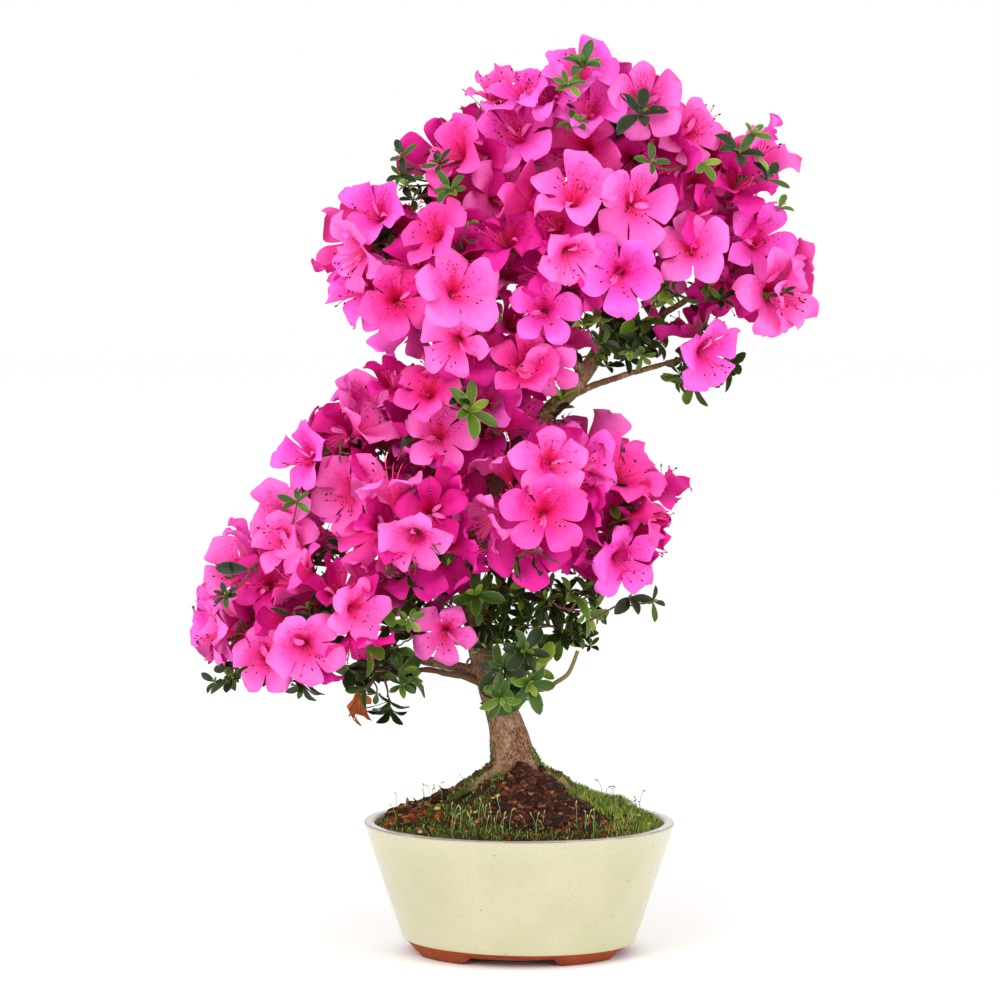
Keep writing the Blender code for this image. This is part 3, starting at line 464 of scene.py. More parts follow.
# %% Bare red clay
clay = Finish("bare_red_clay", {"Specular IOR Level": 0.25})
grog = 1 - clay.cells(0.9 * MM).step(0.15, 0.4)
stain = (1 - clay.along("Z").step(0.0, 0.004)) * clay.cloud(6 * MM).step(0.4, 0.6)
clay.ground(clay.cloud(9 * MM, 4.0).step(0.35, 0.7), (158, 70, 32), (138, 56, 28))
clay.coat(grog * 0.35, (180, 104, 68))
clay.coat(stain * 0.5, (110, 58, 40))
grit = clay.cloud(0.8 * MM, 4.0) + clay.cells(0.9 * MM) * 0.5
clay.close(clay.cloud(2 * MM, 3.0) * 0.2 + 0.7, grit, 0.5, 0.25 * MM)

bowl.make("pot_glazed_bowl", [glaze], "glaze", ["pot"])
foot.make("pot_bare_foot", [clay], "glaze", ["pot"])

# %% [markdown]
# ## The plan of the tree
# The tree is not placed leaf by leaf. It follows a rule: the trunk is a smooth line through a few
# measured points, each bough leaves it and ends in an oval space, and in each space seeded dice
# try places for flowers and leaf whorls and join them by twigs where there is room. The same
# rule, with the same numbers and dice, shaped the plain solids, so what grows here fills the
# same spaces. Lengths in the tables are millimetres, from the pot's axis and the ground.

# %% The numbers of the plan
FIT_GAP = 0.3 * MM
# Points of the trunk's line with its radius
TRUNK_LINE = [
    (-1.5, 0.0, 93.0, 15.0), (-2.6, 0.0, 103.0, 13.2), (-4.4, 0.3, 115.0, 11.6), (-6.2, 0.7, 123.0, 10.4),
    (-9.2, 1.1, 133.0, 9.1), (-13.8, 1.5, 145.0, 8.2), (-19.3, 2.0, 162.0, 7.3), (-24.2, 2.5, 184.0, 6.6),
    (-27.0, 3.0, 209.0, 6.1), (-23.7, 2.0, 234.0, 5.8), (-13.2, 0.0, 262.0, 5.5), (6.0, -2.0, 289.5, 5.2),
    (27.0, -3.0, 310.5, 4.8), (39.0, -2.0, 326.0, 4.5), (48.0, 0.0, 343.0, 4.1), (51.0, 3.0, 367.5, 3.6),
    (47.0, 5.0, 395.0, 2.9), (43.5, 4.0, 423.0, 2.1), (44.0, 2.0, 437.0, 1.6),
]

# Where the roots leave the trunk, bend at the mound and end, and how far out the first two
# points lie; then the way each root runs, how far, and how thick it starts
ROOT_CREST = (-3.5, 0.5, 115.0)
ROOT_CREST_OUT = 4.0
ROOT_KNEE = (-2.0, 0.0, 100.5)
ROOT_KNEE_OUT = 12.0
ROOT_TOE = (-1.5, 0.0, 96.5)
ROOT_DIP_FROM = 24.0
ROOT_DIP_SLOPE = 0.45
ROOTS = [
    (208.0, 33.0, 5.6), (285.0, 25.0, 5.2), (340.0, 27.0, 5.8), (60.0, 27.0, 6.0), (130.0, 26.0, 5.8),
]

# A flower and a leaf whorl as the plan sees them
BLOOM_REACH = 25.0 * MM
BLOOM_THROAT = 0.30
BLOOM_BACK = 0.62
PETALS = 5
PETAL_OUTLINE = (0.46, 0.98, 0.98)
PETAL_RISE = (-0.06, 0.0, 0.0)
BLOOM_SEAT = (0.30, 0.32)
LEAF_LENGTH = 22.0 * MM
LEAF_OUTLINE = (0.20, 0.64, 1.0, 0.64)
LEAF_RISE = (0.04, 0.20, 0.36, 0.20)
WHORL_TOP = 0.04
WHORL_FOOT = 0.17
WHORL_SEAT = (0.08, 0.03)
LEAVES_IN_WHORL = 4

# Twigs, tries and how close things may come
TWIG_STEM = 1.5 * MM
TWIG_START = 1.08 * MM
TWIG_END = 0.8 * MM
TWIG_SPACING = 3.6 * MM
TWIG_SHORTEST = 3.0 * MM
TWIG_JOINTS = (0.35, 0.55, 0.75)
NEAREST_JOINTS = 8
MAIN_TWIG_SHARE = 0.75
BLOOM_TRIES = 900
BLOOM_SPACING = 0.77
BLOOM_DEPTHS = (0.66, 0.90)
WHORL_TRIES = 700
WHORL_SPACING = 0.9
WHORL_TO_BLOOM = 1.12
WHORL_DEPTHS = (0.60, 0.92)
SHOW_DEPTH = 0.88
SHOW_STEPS = 20
SHOW_STEP_IN = 0.03
SHOW_DRIFT = 0.012
SHOW_SHRINK = 0.01
SHOW_SPACING = 0.5
SHOW_SKIN = 1.3
# How far the mean way leans up, how much a facing strays, sizes, and how much they may shrink
BLOOM_LIFT, BLOOM_STRAY, BLOOM_SIZES = 0.3, 0.25, (1.0, 1.08)
WHORL_LIFT, WHORL_STRAY, WHORL_SIZES = -0.25, 0.3, (0.85, 1.05)
MISS_SHRINK = 0.2
LOWEST_BLOOM = -0.5
STEM_CLAIMS = (0.9, 0.75)
JOINT_CLEARS = 0.8
SPACE_LEAN = 0.30
SKIN_LEAN = 0.3
STICK_ROOM = 0.6 * MM
STAR_ROOM = 0.04
LIMB_ROOM_SIDES = 14

# Each mass: middle, half sizes, how many flowers and leaf whorls, and the flowers that stand out
# on its front: right, up (mm), turned right, turned up (degrees), share of full size
MASSES = {
    "apex": ((44, -2, 457), (52, 46, 52), 8, 3, [
        (36, 493, -10, 45, 0.95), (68, 470, 20, 15, 0.9), (14, 474, -35, 30, 0.8)]),
    "upper_left": ((-22, -6, 433), (42, 46, 46), 7, 2, [
        (-3, 455, 5, 10, 0.95), (-43, 447, -55, 20, 0.9), (-14, 479, -40, 60, 0.75)]),
    "far_left": ((-75, 0, 389), (35, 43, 42), 6, 2, [
        (-93, 387, -45, 0, 0.95), (-80, 411, -20, 35, 0.9)]),
    "upper_front": ((26, -44, 393), (52, 44, 50), 8, 1, [
        (28, 423, -5, 25, 1.0), (62, 414, 15, 10, 0.95), (53, 377, 10, -5, 0.95),
        (12, 357, 0, -10, 0.92), (27, 386, 0, 0, 0.8)]),
    "upper_front_right": ((90, -24, 390), (32, 36, 34), 3, 1, [
        (92, 392, 10, 5, 0.9)]),
    "upper_front_left": ((-34, -36, 363), (48, 44, 54), 7, 2, [
        (-32, 370, -5, 5, 1.0), (-36, 339, -30, -20, 0.85), (-48, 401, -20, 10, 0.85)]),
    "upper_under": ((4, -28, 330), (36, 32, 25), 3, 1, [
        (-8, 329, -5, -5, 0.85), (22, 322, 5, -5, 0.75)]),
    "upper_right": ((96, 0, 435), (45, 46, 42), 7, 3, [
        (141, 445, 80, -10, 0.95), (94, 456, 15, 25, 0.9), (97, 421, 15, 0, 0.85)]),
    "right": ((129, -2, 385), (37, 43, 40), 5, 2, [
        (130, 395, 5, 10, 1.0), (147, 365, 60, -15, 0.92)]),
    "middle_right": ((66, -6, 345), (30, 27, 24), 0, 4, []),
    "right_spray": ((103, -10, 332), (28, 28, 30), 1, 2, [
        (104, 332, 35, -5, 0.92)]),
    "upper_back": ((34, 50, 410), (74, 45, 56), 8, 2, []),
    "lower_top": ((-36, -20, 303), (50, 42, 38), 7, 1, [
        (-45, 287, 0, 5, 0.95), (-14, 311, 10, 30, 0.9), (-52, 317, -10, 30, 0.85)]),
    "left_shoulder": ((-90, 0, 274), (42, 46, 44), 7, 2, [
        (-93, 253, -5, 5, 1.0), (-79, 311, -10, 25, 0.95), (-122, 276, -55, 15, 0.9)]),
    "left": ((-133, 2, 217), (36, 42, 37), 6, 1, [
        (-129, 231, -20, 10, 0.9), (-156, 208, -55, 5, 0.85), (-122, 206, -15, -5, 0.75)]),
    "far_left_low": ((-149, 0, 179), (34, 40, 32), 5, 2, [
        (-168, 181, -75, 0, 0.85), (-142, 195, -30, 0, 0.8)]),
    "front_left": ((-104, -40, 187), (42, 38, 40), 5, 4, [
        (-114, 176, -10, 5, 1.0), (-85, 197, 20, 0, 0.8), (-138, 169, -10, 0, 0.85)]),
    "front_centre": ((-54, -48, 241), (46, 40, 40), 6, 1, [
        (-57, 234, 0, -20, 0.9), (-31, 259, 5, 10, 0.95)]),
    "front_right": ((8, -48, 253), (44, 40, 40), 6, 1, [
        (14, 250, 5, 5, 0.95), (18, 279, 10, 20, 0.9)]),
    "right_shoulder": ((31, -16, 280), (38, 42, 33), 5, 1, [
        (41, 286, 25, 15, 0.95)]),
    "lower_right": ((55, -4, 239), (34, 44, 42), 6, 2, [
        (45, 253, 10, 0, 0.9), (73, 248, 95, 5, 0.85), (58, 220, 40, -15, 0.9)]),
    "under_centre": ((-28, -14, 195), (42, 42, 32), 1, 6, [
        (-42, 179, -5, 0, 0.85)]),
    "under_right": ((25, -8, 192), (35, 38, 26), 0, 5, []),
    "front_tuft": ((-2, -28, 165), (28, 26, 28), 0, 5, []),
    "under_left": ((-76, -26, 155), (27, 27, 24), 0, 4, []),
    "lower_back": ((-30, 50, 258), (86, 44, 62), 10, 2, []),
}

# Each bough: what it leaves, where along it, how much it bends, how thick it is at its ends
BOUGHS = {
    "upper_left": ("trunk", 0.885, (0, 0, 6), 2.2, 1.5),
    "far_left": ("trunk", 0.775, (0, 0, 8), 2.6, 1.5),
    "upper_front": ("trunk", 0.745, (0, 0, 0), 2.2, 1.7),
    "upper_front_left": ("trunk", 0.68, (0, 0, 6), 2.4, 1.6),
    "upper_front_right": ("trunk", 0.75, (0, 0, 4), 2.0, 1.5),
    "upper_under": ("trunk", 0.645, (0, 0, 2), 1.9, 1.5),
    "upper_right": ("trunk", 0.85, (0, 0, 6), 2.3, 1.5),
    "right": ("trunk", 0.72, (0, 0, -4), 2.3, 1.5),
    "right_spray": ("trunk", 0.625, (0, 0, 5), 2.1, 1.3),
    "middle_right": ("trunk", 0.665, (0, 0, 3), 1.8, 1.3),
    "left_shoulder": ("trunk", 0.41, (0, 0, 6), 2.8, 1.8),
    "left": ("trunk", 0.30, (0, 0, 6), 2.8, 1.7),
    "far_left_low": ("trunk", 0.17, (0, 0, 3), 3.2, 1.8),
    "front_left": ("trunk", 0.215, (0, 0, 4), 2.6, 1.7),
    "front_centre": ("trunk", 0.335, (0, 0, 2), 2.4, 1.8),
    "front_right": ("trunk", 0.39, (0, 0, 2), 2.3, 1.7),
    "right_shoulder": ("trunk", 0.505, (0, 0, -2), 2.4, 1.8),
    "lower_right": ("trunk", 0.36, (0, 0, 4), 2.6, 1.7),
    "under_right": ("trunk", 0.135, (14, 0, -15), 1.8, 1.3),
    "front_tuft": ("trunk", 0.17, (0, 0, 0), 1.9, 1.6),
    "under_left": ("far_left_low", 0.40, (0, 0, -2), 1.8, 1.5),
    "lower_top": ("trunk", 0.52, (0, 0, 2), 2.4, 1.8),
    "lower_back": ("trunk", 0.33, (0, 0, 2), 2.7, 2.0),
}
BOUGH_RINGS = 4
BOUGH_STEPS = 24
BOUGH_TURN_AT = 0.45
BOUGH_DEPTH = 0.86
STEM_DEPTH = 0.94
STEM_LENGTH = 5.0 * MM
TOP_STEM_LENGTH = 6.0 * MM
TRUNK_STEMS = {"apex": 1.0, "upper_back": 0.86, "under_centre": 0.255}

# %% [markdown]
# ## Lines of the trunk and boughs
# A limb is a line of points with a thickness at each. The trunk's line is softened through its
# measured rows. A bough starts on its parent, bends once, and stops where it enters its mass,
# and a short stem carries on from its tip, a hair's breadth clear of it in the solids.

# %% Limb lines
def smooth_line(points, per_span):
    """Points and thickness along a soft curve through the given rows."""
    rows = [Vector(row) for row in points]
    rows = [2.0 * rows[0] - rows[1]] + rows + [2.0 * rows[-1] - rows[-2]]
    out = []
    for i in range(1, len(rows) - 2):
        a, b, c, d = rows[i - 1:i + 3]
        for k in range(per_span):
            t = k / per_span
            out.append(0.5 * ((2.0 * b) + (c - a) * t + (2.0 * a - 5.0 * b + 4.0 * c - d) * t ** 2
                              + (3.0 * b - a - 3.0 * c + d) * t ** 3))
    out.append(rows[-2])
    return [(Vector(row[:3]) * MM, row[3] * MM) for row in out]


def along(line, share):
    """Point, heading and radius at a share of a limb's length."""
    lengths = [0.0]
    for (a, _), (b, _) in zip(line, line[1:]):
        lengths.append(lengths[-1] + (b - a).length)
    want = min(max(share, 0.0), 1.0) * lengths[-1]
    for i in range(len(line) - 1):
        if want <= lengths[i + 1] or i == len(line) - 2:
            (a, ra), (b, rb) = line[i], line[i + 1]
            t = (want - lengths[i]) / (lengths[i + 1] - lengths[i])
            return a.lerp(b, t), (b - a).normalized(), ra + (rb - ra) * t


class Mass:
    """The space of one mass: an oval body that ends where a neighbour's space is nearer."""

    def __init__(self, name, row, seed):
        middle, half_sizes, self.blooms, self.whorls, self.show = row
        self.name = name
        self.middle = Vector(middle) * MM
        self.half_sizes = Vector(half_sizes) * MM
        self.seed = seed

    def reach(self, point):
        """0 in the middle of the mass, 1 on its skin."""
        d = point - self.middle
        r = self.half_sizes
        return math.sqrt((d.x / r.x) ** 2 + (d.y / r.y) ** 2 + (d.z / r.z) ** 2)


def bough_line(name):
    parent, share, bend_by, root_radius, tip_radius = BOUGHS[name]
    mass = by_name[name]
    start, _, _ = along(limbs[parent], share)
    turn = start.lerp(mass.middle, BOUGH_TURN_AT) + Vector(bend_by) * MM
    whole = []
    for i in range(BOUGH_STEPS + 1):
        t = i / BOUGH_STEPS
        whole.append(start * (1 - t) ** 2 + turn * 2 * t * (1 - t) + mass.middle * t ** 2)
    inside = [i for i, point in enumerate(whole) if mass.reach(point) < BOUGH_DEPTH]
    last = max(inside[0], BOUGH_RINGS - 1)
    kept = whole[:last + 1]
    line = []
    for k in range(BOUGH_RINGS):
        i = round(k * last / (BOUGH_RINGS - 1))
        thick = root_radius + (tip_radius - root_radius) * k / (BOUGH_RINGS - 1)
        line.append((kept[i], thick * MM))
    return line


def stem_line(mass):
    """The first stretch of a mass, which starts on its bough's tip or on the trunk."""
    if mass.name in BOUGHS:
        point, heading, _ = along(limbs[mass.name], 1.0)
        start = point + heading * FIT_GAP
        return start, start + heading * STEM_LENGTH
    share = TRUNK_STEMS[mass.name]
    point, heading, radius = along(trunk_line, share)
    if share == 1.0:
        start = point + heading * FIT_GAP
        return start, start + heading * TOP_STEM_LENGTH
    away = mass.middle - point
    away -= heading * away.dot(heading)
    away.normalize()
    start = point + away * (radius + FIT_GAP)
    elbow = start + away * STEM_LENGTH
    while mass.reach(elbow) > STEM_DEPTH:
        elbow += (mass.middle - elbow).normalized() * MM
    return start, elbow


trunk_line = smooth_line(TRUNK_LINE, 1)
limbs = {"trunk": trunk_line}
masses = [Mass(name, row, 11 + i) for i, (name, row) in enumerate(MASSES.items())]
by_name = {mass.name: mass for mass in masses}
for name in BOUGHS:
    limbs[name] = bough_line(name)
stems = {mass.name: stem_line(mass) for mass in masses}
print(len(limbs), "limbs,", len(stems), "stems")

# %% [markdown]
# ## Room among the twigs
# Before a flower is set, its outline is tested against all that is already there. Each test body
# is a plain closed shape in a bounding-volume tree, which finds out quickly whether two shapes
# touch.

# %% Test bodies
taken = []


def stick(a, b, ra, rb, sides=6):
    """Corners and faces of a straight round stick with flat ends."""
    way = (b - a).normalized()
    side = way.orthogonal().normalized()
    up = way.cross(side)
    corners = []
    for centre, radius in ((a, ra), (b, rb)):
        for i in range(sides):
            angle = FULL_TURN * i / sides
            corners.append(centre + (side * math.cos(angle) + up * math.sin(angle)) * radius)
    faces = [(i, (i + 1) % sides, sides + (i + 1) % sides, sides + i) for i in range(sides)]
    return corners, faces + [tuple(range(sides)), tuple(range(sides, 2 * sides))]


def grown_stick(a, b, ra, rb, sides=6):
    return stick(a, b, ra + STICK_ROOM, rb + STICK_ROOM, sides)


def ball_round(corners):
    middle = sum(corners, Vector()) / len(corners)
    return middle, max((corner - middle).length for corner in corners)


def face_tree(body):
    """The faces of a body, ready to be tested against another's, at a scale of millimetres."""
    corners, faces = body
    return BVHTree.FromPolygons([corner / MM for corner in corners], faces)


def claim(body, owner):
    middle, radius = ball_round(body[0])
    taken.append((middle, radius, face_tree(body), owner))


def is_free(body, owner):
    """Whether a body touches nothing that belongs to another mass or to a limb."""
    middle, radius = ball_round(body[0])
    tree = None
    for other_middle, other_radius, other_tree, other_owner in taken:
        if other_owner == owner or (middle - other_middle).length > radius + other_radius:
            continue
        tree = tree or face_tree(body)
        if tree.overlap(other_tree):
            return False
    return True


def in_own_space(mass, point, skin, lean=SPACE_LEAN):
    here = mass.reach(point)
    return here < skin and all(other.reach(point) >= here - lean for other in masses)


def axes_for(facing, roll):
    """A frame whose third axis is the way a flower or whorl faces."""
    helper = Vector((0, 0, 1)) if abs(facing.z) < 0.9 else Vector((0, 1, 0))
    side = helper.cross(facing).normalized()
    up = facing.cross(side)
    a = side * math.cos(roll) + up * math.sin(roll)
    b = facing.cross(a)
    return a, b, facing


def seat_of(spot, seat, points):
    """Where a twig ends in a flower or whorl: a little out along a petal or leaf, and behind it."""
    at, facing, roll, size = spot
    a, _, f = axes_for(facing, roll + math.pi / points)
    return at + (a * seat[0] - f * seat[1]) * size


def grown_star(spot, points, outline, rise, top, foot):
    """Corners and faces of a slightly enlarged round body with its rim drawn out into points."""
    at, facing, roll, size = spot
    a, b, f = axes_for(facing, roll)
    count = points * len(outline)
    corners = []
    for i in range(count):
        angle = FULL_TURN * i / count
        k = i % len(outline)
        r = outline[k] * (1.0 + STAR_ROOM)
        z = rise[k] + (rise[k] - (top + foot) / 2) * STAR_ROOM
        corners.append(at + (a * math.cos(angle) * r + b * math.sin(angle) * r + f * z) * size)
    corners += [at + f * (top + STAR_ROOM) * size, at + f * (foot - STAR_ROOM) * size]
    faces = []
    for i in range(count):
        faces.append((i, (i + 1) % count, count))
        faces.append(((i + 1) % count, i, count + 1))
    return corners, faces


def grown_bloom(spot):
    return grown_star(spot, PETALS, PETAL_OUTLINE, PETAL_RISE, -BLOOM_THROAT, -BLOOM_BACK)


def grown_whorl(spot):
    return grown_star(spot, LEAVES_IN_WHORL, LEAF_OUTLINE, LEAF_RISE, WHORL_TOP, -WHORL_FOOT)


for line in limbs.values():
    for (a, ra), (b, rb) in zip(line, line[1:]):
        claim(grown_stick(a, b, ra, rb, LIMB_ROOM_SIDES), "limbs")
for name, (a, b) in stems.items():
    claim(grown_stick(a, b, TWIG_STEM, TWIG_STEM), name)

# %% [markdown]
# ## Twigs, flowers and whorls by the rule
# Each mass has its own dice. It first sets the flowers that stand out on the front, then fills
# up with flowers round its skin, then with whorls of leaves. A twig runs to each from the
# nearest joint that it can be reached from.

# %% One mass's growth
class Spray:
    """The twigs, flowers and leaf whorls of one mass."""

    def __init__(self, mass):
        self.mass = mass
        self.dice = random.Random(mass.seed)
        self.start, self.elbow = stems[mass.name]
        self.nodes = [self.elbow]
        self.main = None
        self.last_joint = None
        self.blooms, self.bloom_twigs = [], []
        self.whorls, self.whorl_twigs = [], []
        heart = self.elbow.lerp(mass.middle, MAIN_TWIG_SHARE)
        if is_free(grown_stick(self.elbow, heart, TWIG_STEM, TWIG_STEM), mass.name):
            self.main = heart
            thick, thin = (TWIG_STEM * share for share in STEM_CLAIMS)
            claim(grown_stick(self.elbow, heart, thick, thin), mass.name)
            count = int((heart - self.elbow).length / TWIG_SPACING)
            self.nodes += [self.elbow.lerp(heart, (k + 1) / count) for k in range(count)]

    def reach_by_twig(self, end):
        """Join a tip to the nearest twig that it can be reached from."""
        for node in sorted(self.nodes, key=lambda n: (n - end).length)[:NEAREST_JOINTS]:
            if (node - end).length < TWIG_SHORTEST:
                continue
            twig = grown_stick(node, end, TWIG_START, TWIG_END)
            if is_free(twig, self.mass.name):
                claim(twig, self.mass.name)
                self.last_joint = node
                cleared = TWIG_SPACING * JOINT_CLEARS
                self.nodes = [n for n in self.nodes if (n - node).length > cleared]
                self.nodes += [node.lerp(end, t) for t in TWIG_JOINTS]
                return True
        return False

    def settles(self, spot, body, skin, seat):
        """Whether a flower or whorl has room at its spot and a twig can reach its seat."""
        if not in_own_space(self.mass, spot[0], skin, 0.0):
            return False
        if not all(in_own_space(self.mass, p, skin + SKIN_LEAN) for p in body[0]):
            return False
        if not is_free(body, self.mass.name) or not self.reach_by_twig(seat):
            return False
        claim(body, self.mass.name)
        return True

    def try_bloom(self, spot, skin, spacing):
        at, _, _, size = spot
        if any((at - other[0]).length < spacing * (size + other[3]) for other in self.blooms):
            return False
        if not self.settles(spot, grown_bloom(spot), skin, seat_of(spot, BLOOM_SEAT, PETALS)):
            return False
        self.blooms.append(spot)
        self.bloom_twigs.append(self.last_joint)
        return True

    def try_whorl(self, spot, skin):
        at, _, _, size = spot
        if any((at - other[0]).length < WHORL_SPACING * size for other in self.whorls):
            return False
        if any((at - other[0]).length < WHORL_TO_BLOOM * other[3] for other in self.blooms):
            return False
        seat = seat_of(spot, WHORL_SEAT, LEAVES_IN_WHORL)
        if not self.settles(spot, grown_whorl(spot), skin, seat):
            return False
        self.whorls.append(spot)
        self.whorl_twigs.append(self.last_joint)
        return True

    def place(self, way, push):
        """A point on the way from the middle of the mass to its skin."""
        r = self.mass.half_sizes
        return self.mass.middle + Vector((way.x * r.x, way.y * r.y, way.z * r.z)) * push

    def way_out(self, lift):
        dice = self.dice
        return Vector((dice.gauss(0, 1), dice.gauss(0, 1), dice.gauss(lift, 1))).normalized()

    def show_blooms(self):
        """The flowers that stand out on the front."""
        mass = self.mass
        for x, z, turn, tilt, share in mass.show:
            dx = (x * MM - mass.middle.x) / mass.half_sizes.x
            dz = (z * MM - mass.middle.z) / mass.half_sizes.z
            depth = math.sqrt(max(0.0, 1.0 - dx * dx - dz * dz))
            turn, tilt = math.radians(turn), math.radians(tilt)
            facing = Vector((math.sin(turn) * math.cos(tilt), -math.cos(turn) * math.cos(tilt),
                             math.sin(tilt)))
            roll = self.dice.uniform(0, FULL_TURN)
            for step in range(SHOW_STEPS):
                push = SHOW_DEPTH - SHOW_STEP_IN * step
                at = Vector((x * MM, mass.middle.y - mass.half_sizes.y * depth * push, z * MM))
                at = at.lerp(mass.middle, SHOW_DRIFT * step)
                size = BLOOM_REACH * share * (1.0 - SHOW_SHRINK * step)
                if self.try_bloom((at, facing, roll, size), SHOW_SKIN, SHOW_SPACING):
                    break

    def fill_blooms(self):
        dice = self.dice
        misses = 0
        while len(self.blooms) < self.mass.blooms and misses < BLOOM_TRIES:
            way = self.way_out(BLOOM_LIFT)
            at = self.place(way, dice.uniform(*BLOOM_DEPTHS))
            stray = Vector((dice.gauss(0, BLOOM_STRAY), dice.gauss(0, BLOOM_STRAY),
                            dice.gauss(0.1, 0.2)))
            size = BLOOM_REACH * (dice.uniform(*BLOOM_SIZES) - MISS_SHRINK * misses / BLOOM_TRIES)
            spot = (at, (way + stray).normalized(), dice.uniform(0, FULL_TURN), size)
            if way.z < LOWEST_BLOOM or not self.try_bloom(spot, 1.0, BLOOM_SPACING):
                misses += 1

    def fill_whorls(self):
        dice = self.dice
        misses = 0
        while len(self.whorls) < self.mass.whorls and misses < WHORL_TRIES:
            way = self.way_out(WHORL_LIFT)
            at = self.place(way, dice.uniform(*WHORL_DEPTHS))
            stray = Vector((dice.gauss(0, WHORL_STRAY), dice.gauss(0, WHORL_STRAY), 0.35))
            size = LEAF_LENGTH * (dice.uniform(*WHORL_SIZES) - MISS_SHRINK * misses / WHORL_TRIES)
            spot = (at, (way + stray).normalized(), dice.uniform(0, FULL_TURN), size)
            if not self.try_whorl(spot, 1.0):
                misses += 1


sprays = [Spray(mass) for mass in masses]
for spray in sprays:
    spray.show_blooms()
for spray in sprays:
    spray.fill_blooms()
for spray in sprays:
    spray.fill_whorls()
print(sum(len(s.blooms) for s in sprays), "flowers and", sum(len(s.whorls) for s in sprays), "whorls")

# %% [markdown]
# ## Sky between the masses
# The photograph shows where the crown lets the sky or the trunk through, and a few places where
# one more flower closes a gap. Both are noted as pixels of the photograph, and one function
# turns a pixel and a depth into a point of the plant. Flowers near a patch of sky are moved off
# it by short steps, and what the dice add later keeps clear of it. Two of the patches keep the
# trunk in view between the storeys.

# %% Patches of sky, and the flowers that close gaps
# The photograph's upright axis, its ground line, the size of a pixel and the lift of the ground
PX_AXIS, PX_GROUND = 519.0, 945.5
PX_WIDE, PX_TALL = 0.55 * MM, 0.556 * MM
PX_LIFT = 3.0 * MM
SKY_STEP = 7.0 * MM
# Middle and radius of each patch, in pixels
OPEN_SKY = [
    (298, 195, 34), (288, 246, 30), (340, 160, 26), (398, 112, 38), (440, 82, 26), (628, 18, 44),
    (690, 52, 28), (738, 88, 36), (818, 128, 26), (826, 236, 30), (765, 346, 18), (742, 408, 22),
    (624, 388, 32), (712, 498, 26), (690, 572, 28), (288, 394, 24), (212, 520, 20), (344, 350, 18),
    (630, 632, 30), (560, 716, 26), (330, 724, 24), (584, 384, 20), (592, 376, 16), (618, 402, 24),
    (332, 364, 16), (250, 468, 20), (818, 250, 22), (656, 42, 22), (812, 146, 20), (574, 628, 22),
]
# Pixel of each flower, the way that it faces and how far, in mm, it lies behind its neighbour
GAP_BLOOMS = [
    (520, 90, (-0.2, -0.6, 0.8), 9), (272, 508, (-0.6, -0.7, 0.4), 9),
    (214, 622, (-0.7, -0.7, 0.1), 9), (234, 572, (-0.6, -0.7, 0.35), 6),
    (358, 288, (-0.6, -0.7, -0.2), 9), (344, 402, (-0.6, -0.6, 0.3), 9),
    (760, 140, (0.3, -0.6, 0.75), 9), (622, 452, (0.5, -0.6, 0.5), 9),
    (350, 488, (-0.15, -0.95, 0.15), -9), (514, 134, (-0.1, -0.8, 0.45), -8),
    (778, 292, (0.45, -0.8, -0.15), -3),
]
GAP_ROLL = 0.4


def picture_spot(px, py, y):
    """A point of the plant from a pixel of the photograph and a depth."""
    return Vector(((px - PX_AXIS) * PX_WIDE, y, (PX_GROUND - py) * PX_TALL + PX_LIFT))


def in_open_sky(at, reach):
    """Whether something of this reach would cover a patch of sky."""
    return any((picture_spot(px, py, at.y) - at).length < reach + radius * PX_WIDE
               for px, py, radius in OPEN_SKY)


def clear_of_sky(spot, share):
    """The same spot, moved off each patch of sky by one short step at most."""
    at, facing, roll, size = spot
    at = at.copy()
    for px, py, radius in OPEN_SKY:
        away = at - picture_spot(px, py, at.y)
        lacking = share * size + radius * PX_WIDE - away.length
        if lacking > 0.0:
            at += away.normalized() * min(lacking, SKY_STEP)
    return at, facing, roll, size


def nearest_joint(spray, end):
    far_enough = [n for n in spray.nodes if (n - end).length > TWIG_SHORTEST]
    return min(far_enough, key=lambda n: (n - end).length)


def gap_blooms(spray):
    """The flowers that close gaps next to this mass, at a depth near their neighbours'."""
    made = []
    for px, py, facing, behind in GAP_BLOOMS:
        at = picture_spot(px, py, 0.0)
        beside = min(planned_blooms, key=lambda s: math.hypot(s[0].x - at.x, s[0].z - at.z))
        if beside not in spray.blooms:
            continue
        at.y = beside[0].y + behind * MM
        flower = (at, Vector(facing).normalized(), GAP_ROLL * len(made), BLOOM_REACH)
        made.append((flower, nearest_joint(spray, at)))
        all_blooms.append(flower)
    return made


planned_blooms = [spot for spray in sprays for spot in spray.blooms]
all_blooms = list(planned_blooms)
all_shoots = [spot for spray in sprays for spot in spray.whorls]
for spray in sprays:
    spray.gap_blooms = gap_blooms(spray)
print(len(all_blooms) - len(planned_blooms), "flowers close gaps")

# %% [markdown]
# ## Carrying the rule to finer twigs
# The solids hold only the flowers and leaves that show from a step away. The real crown is
# closer: more flowers sit deeper between them, and leafy shoots fill the gaps. The same kind of
# tries goes on here with smaller spacings, inside the same spaces.

# %% More flowers and leafy shoots within the same reach
DEEP_BLOOM_SHARE = 1.15
DEEP_BLOOM_SPACING = 0.50
TRIES_FOR_EACH = 60
SHOOT_SPACING = 7.0 * MM
SHOOT_TO_BLOOM = 0.62
SHOOTS_IN_BLOOM, SHOOTS_IN_LEAF = 4, 5
STRAY_ASIDE, STRAY_SPREAD = 0.35, 0.3
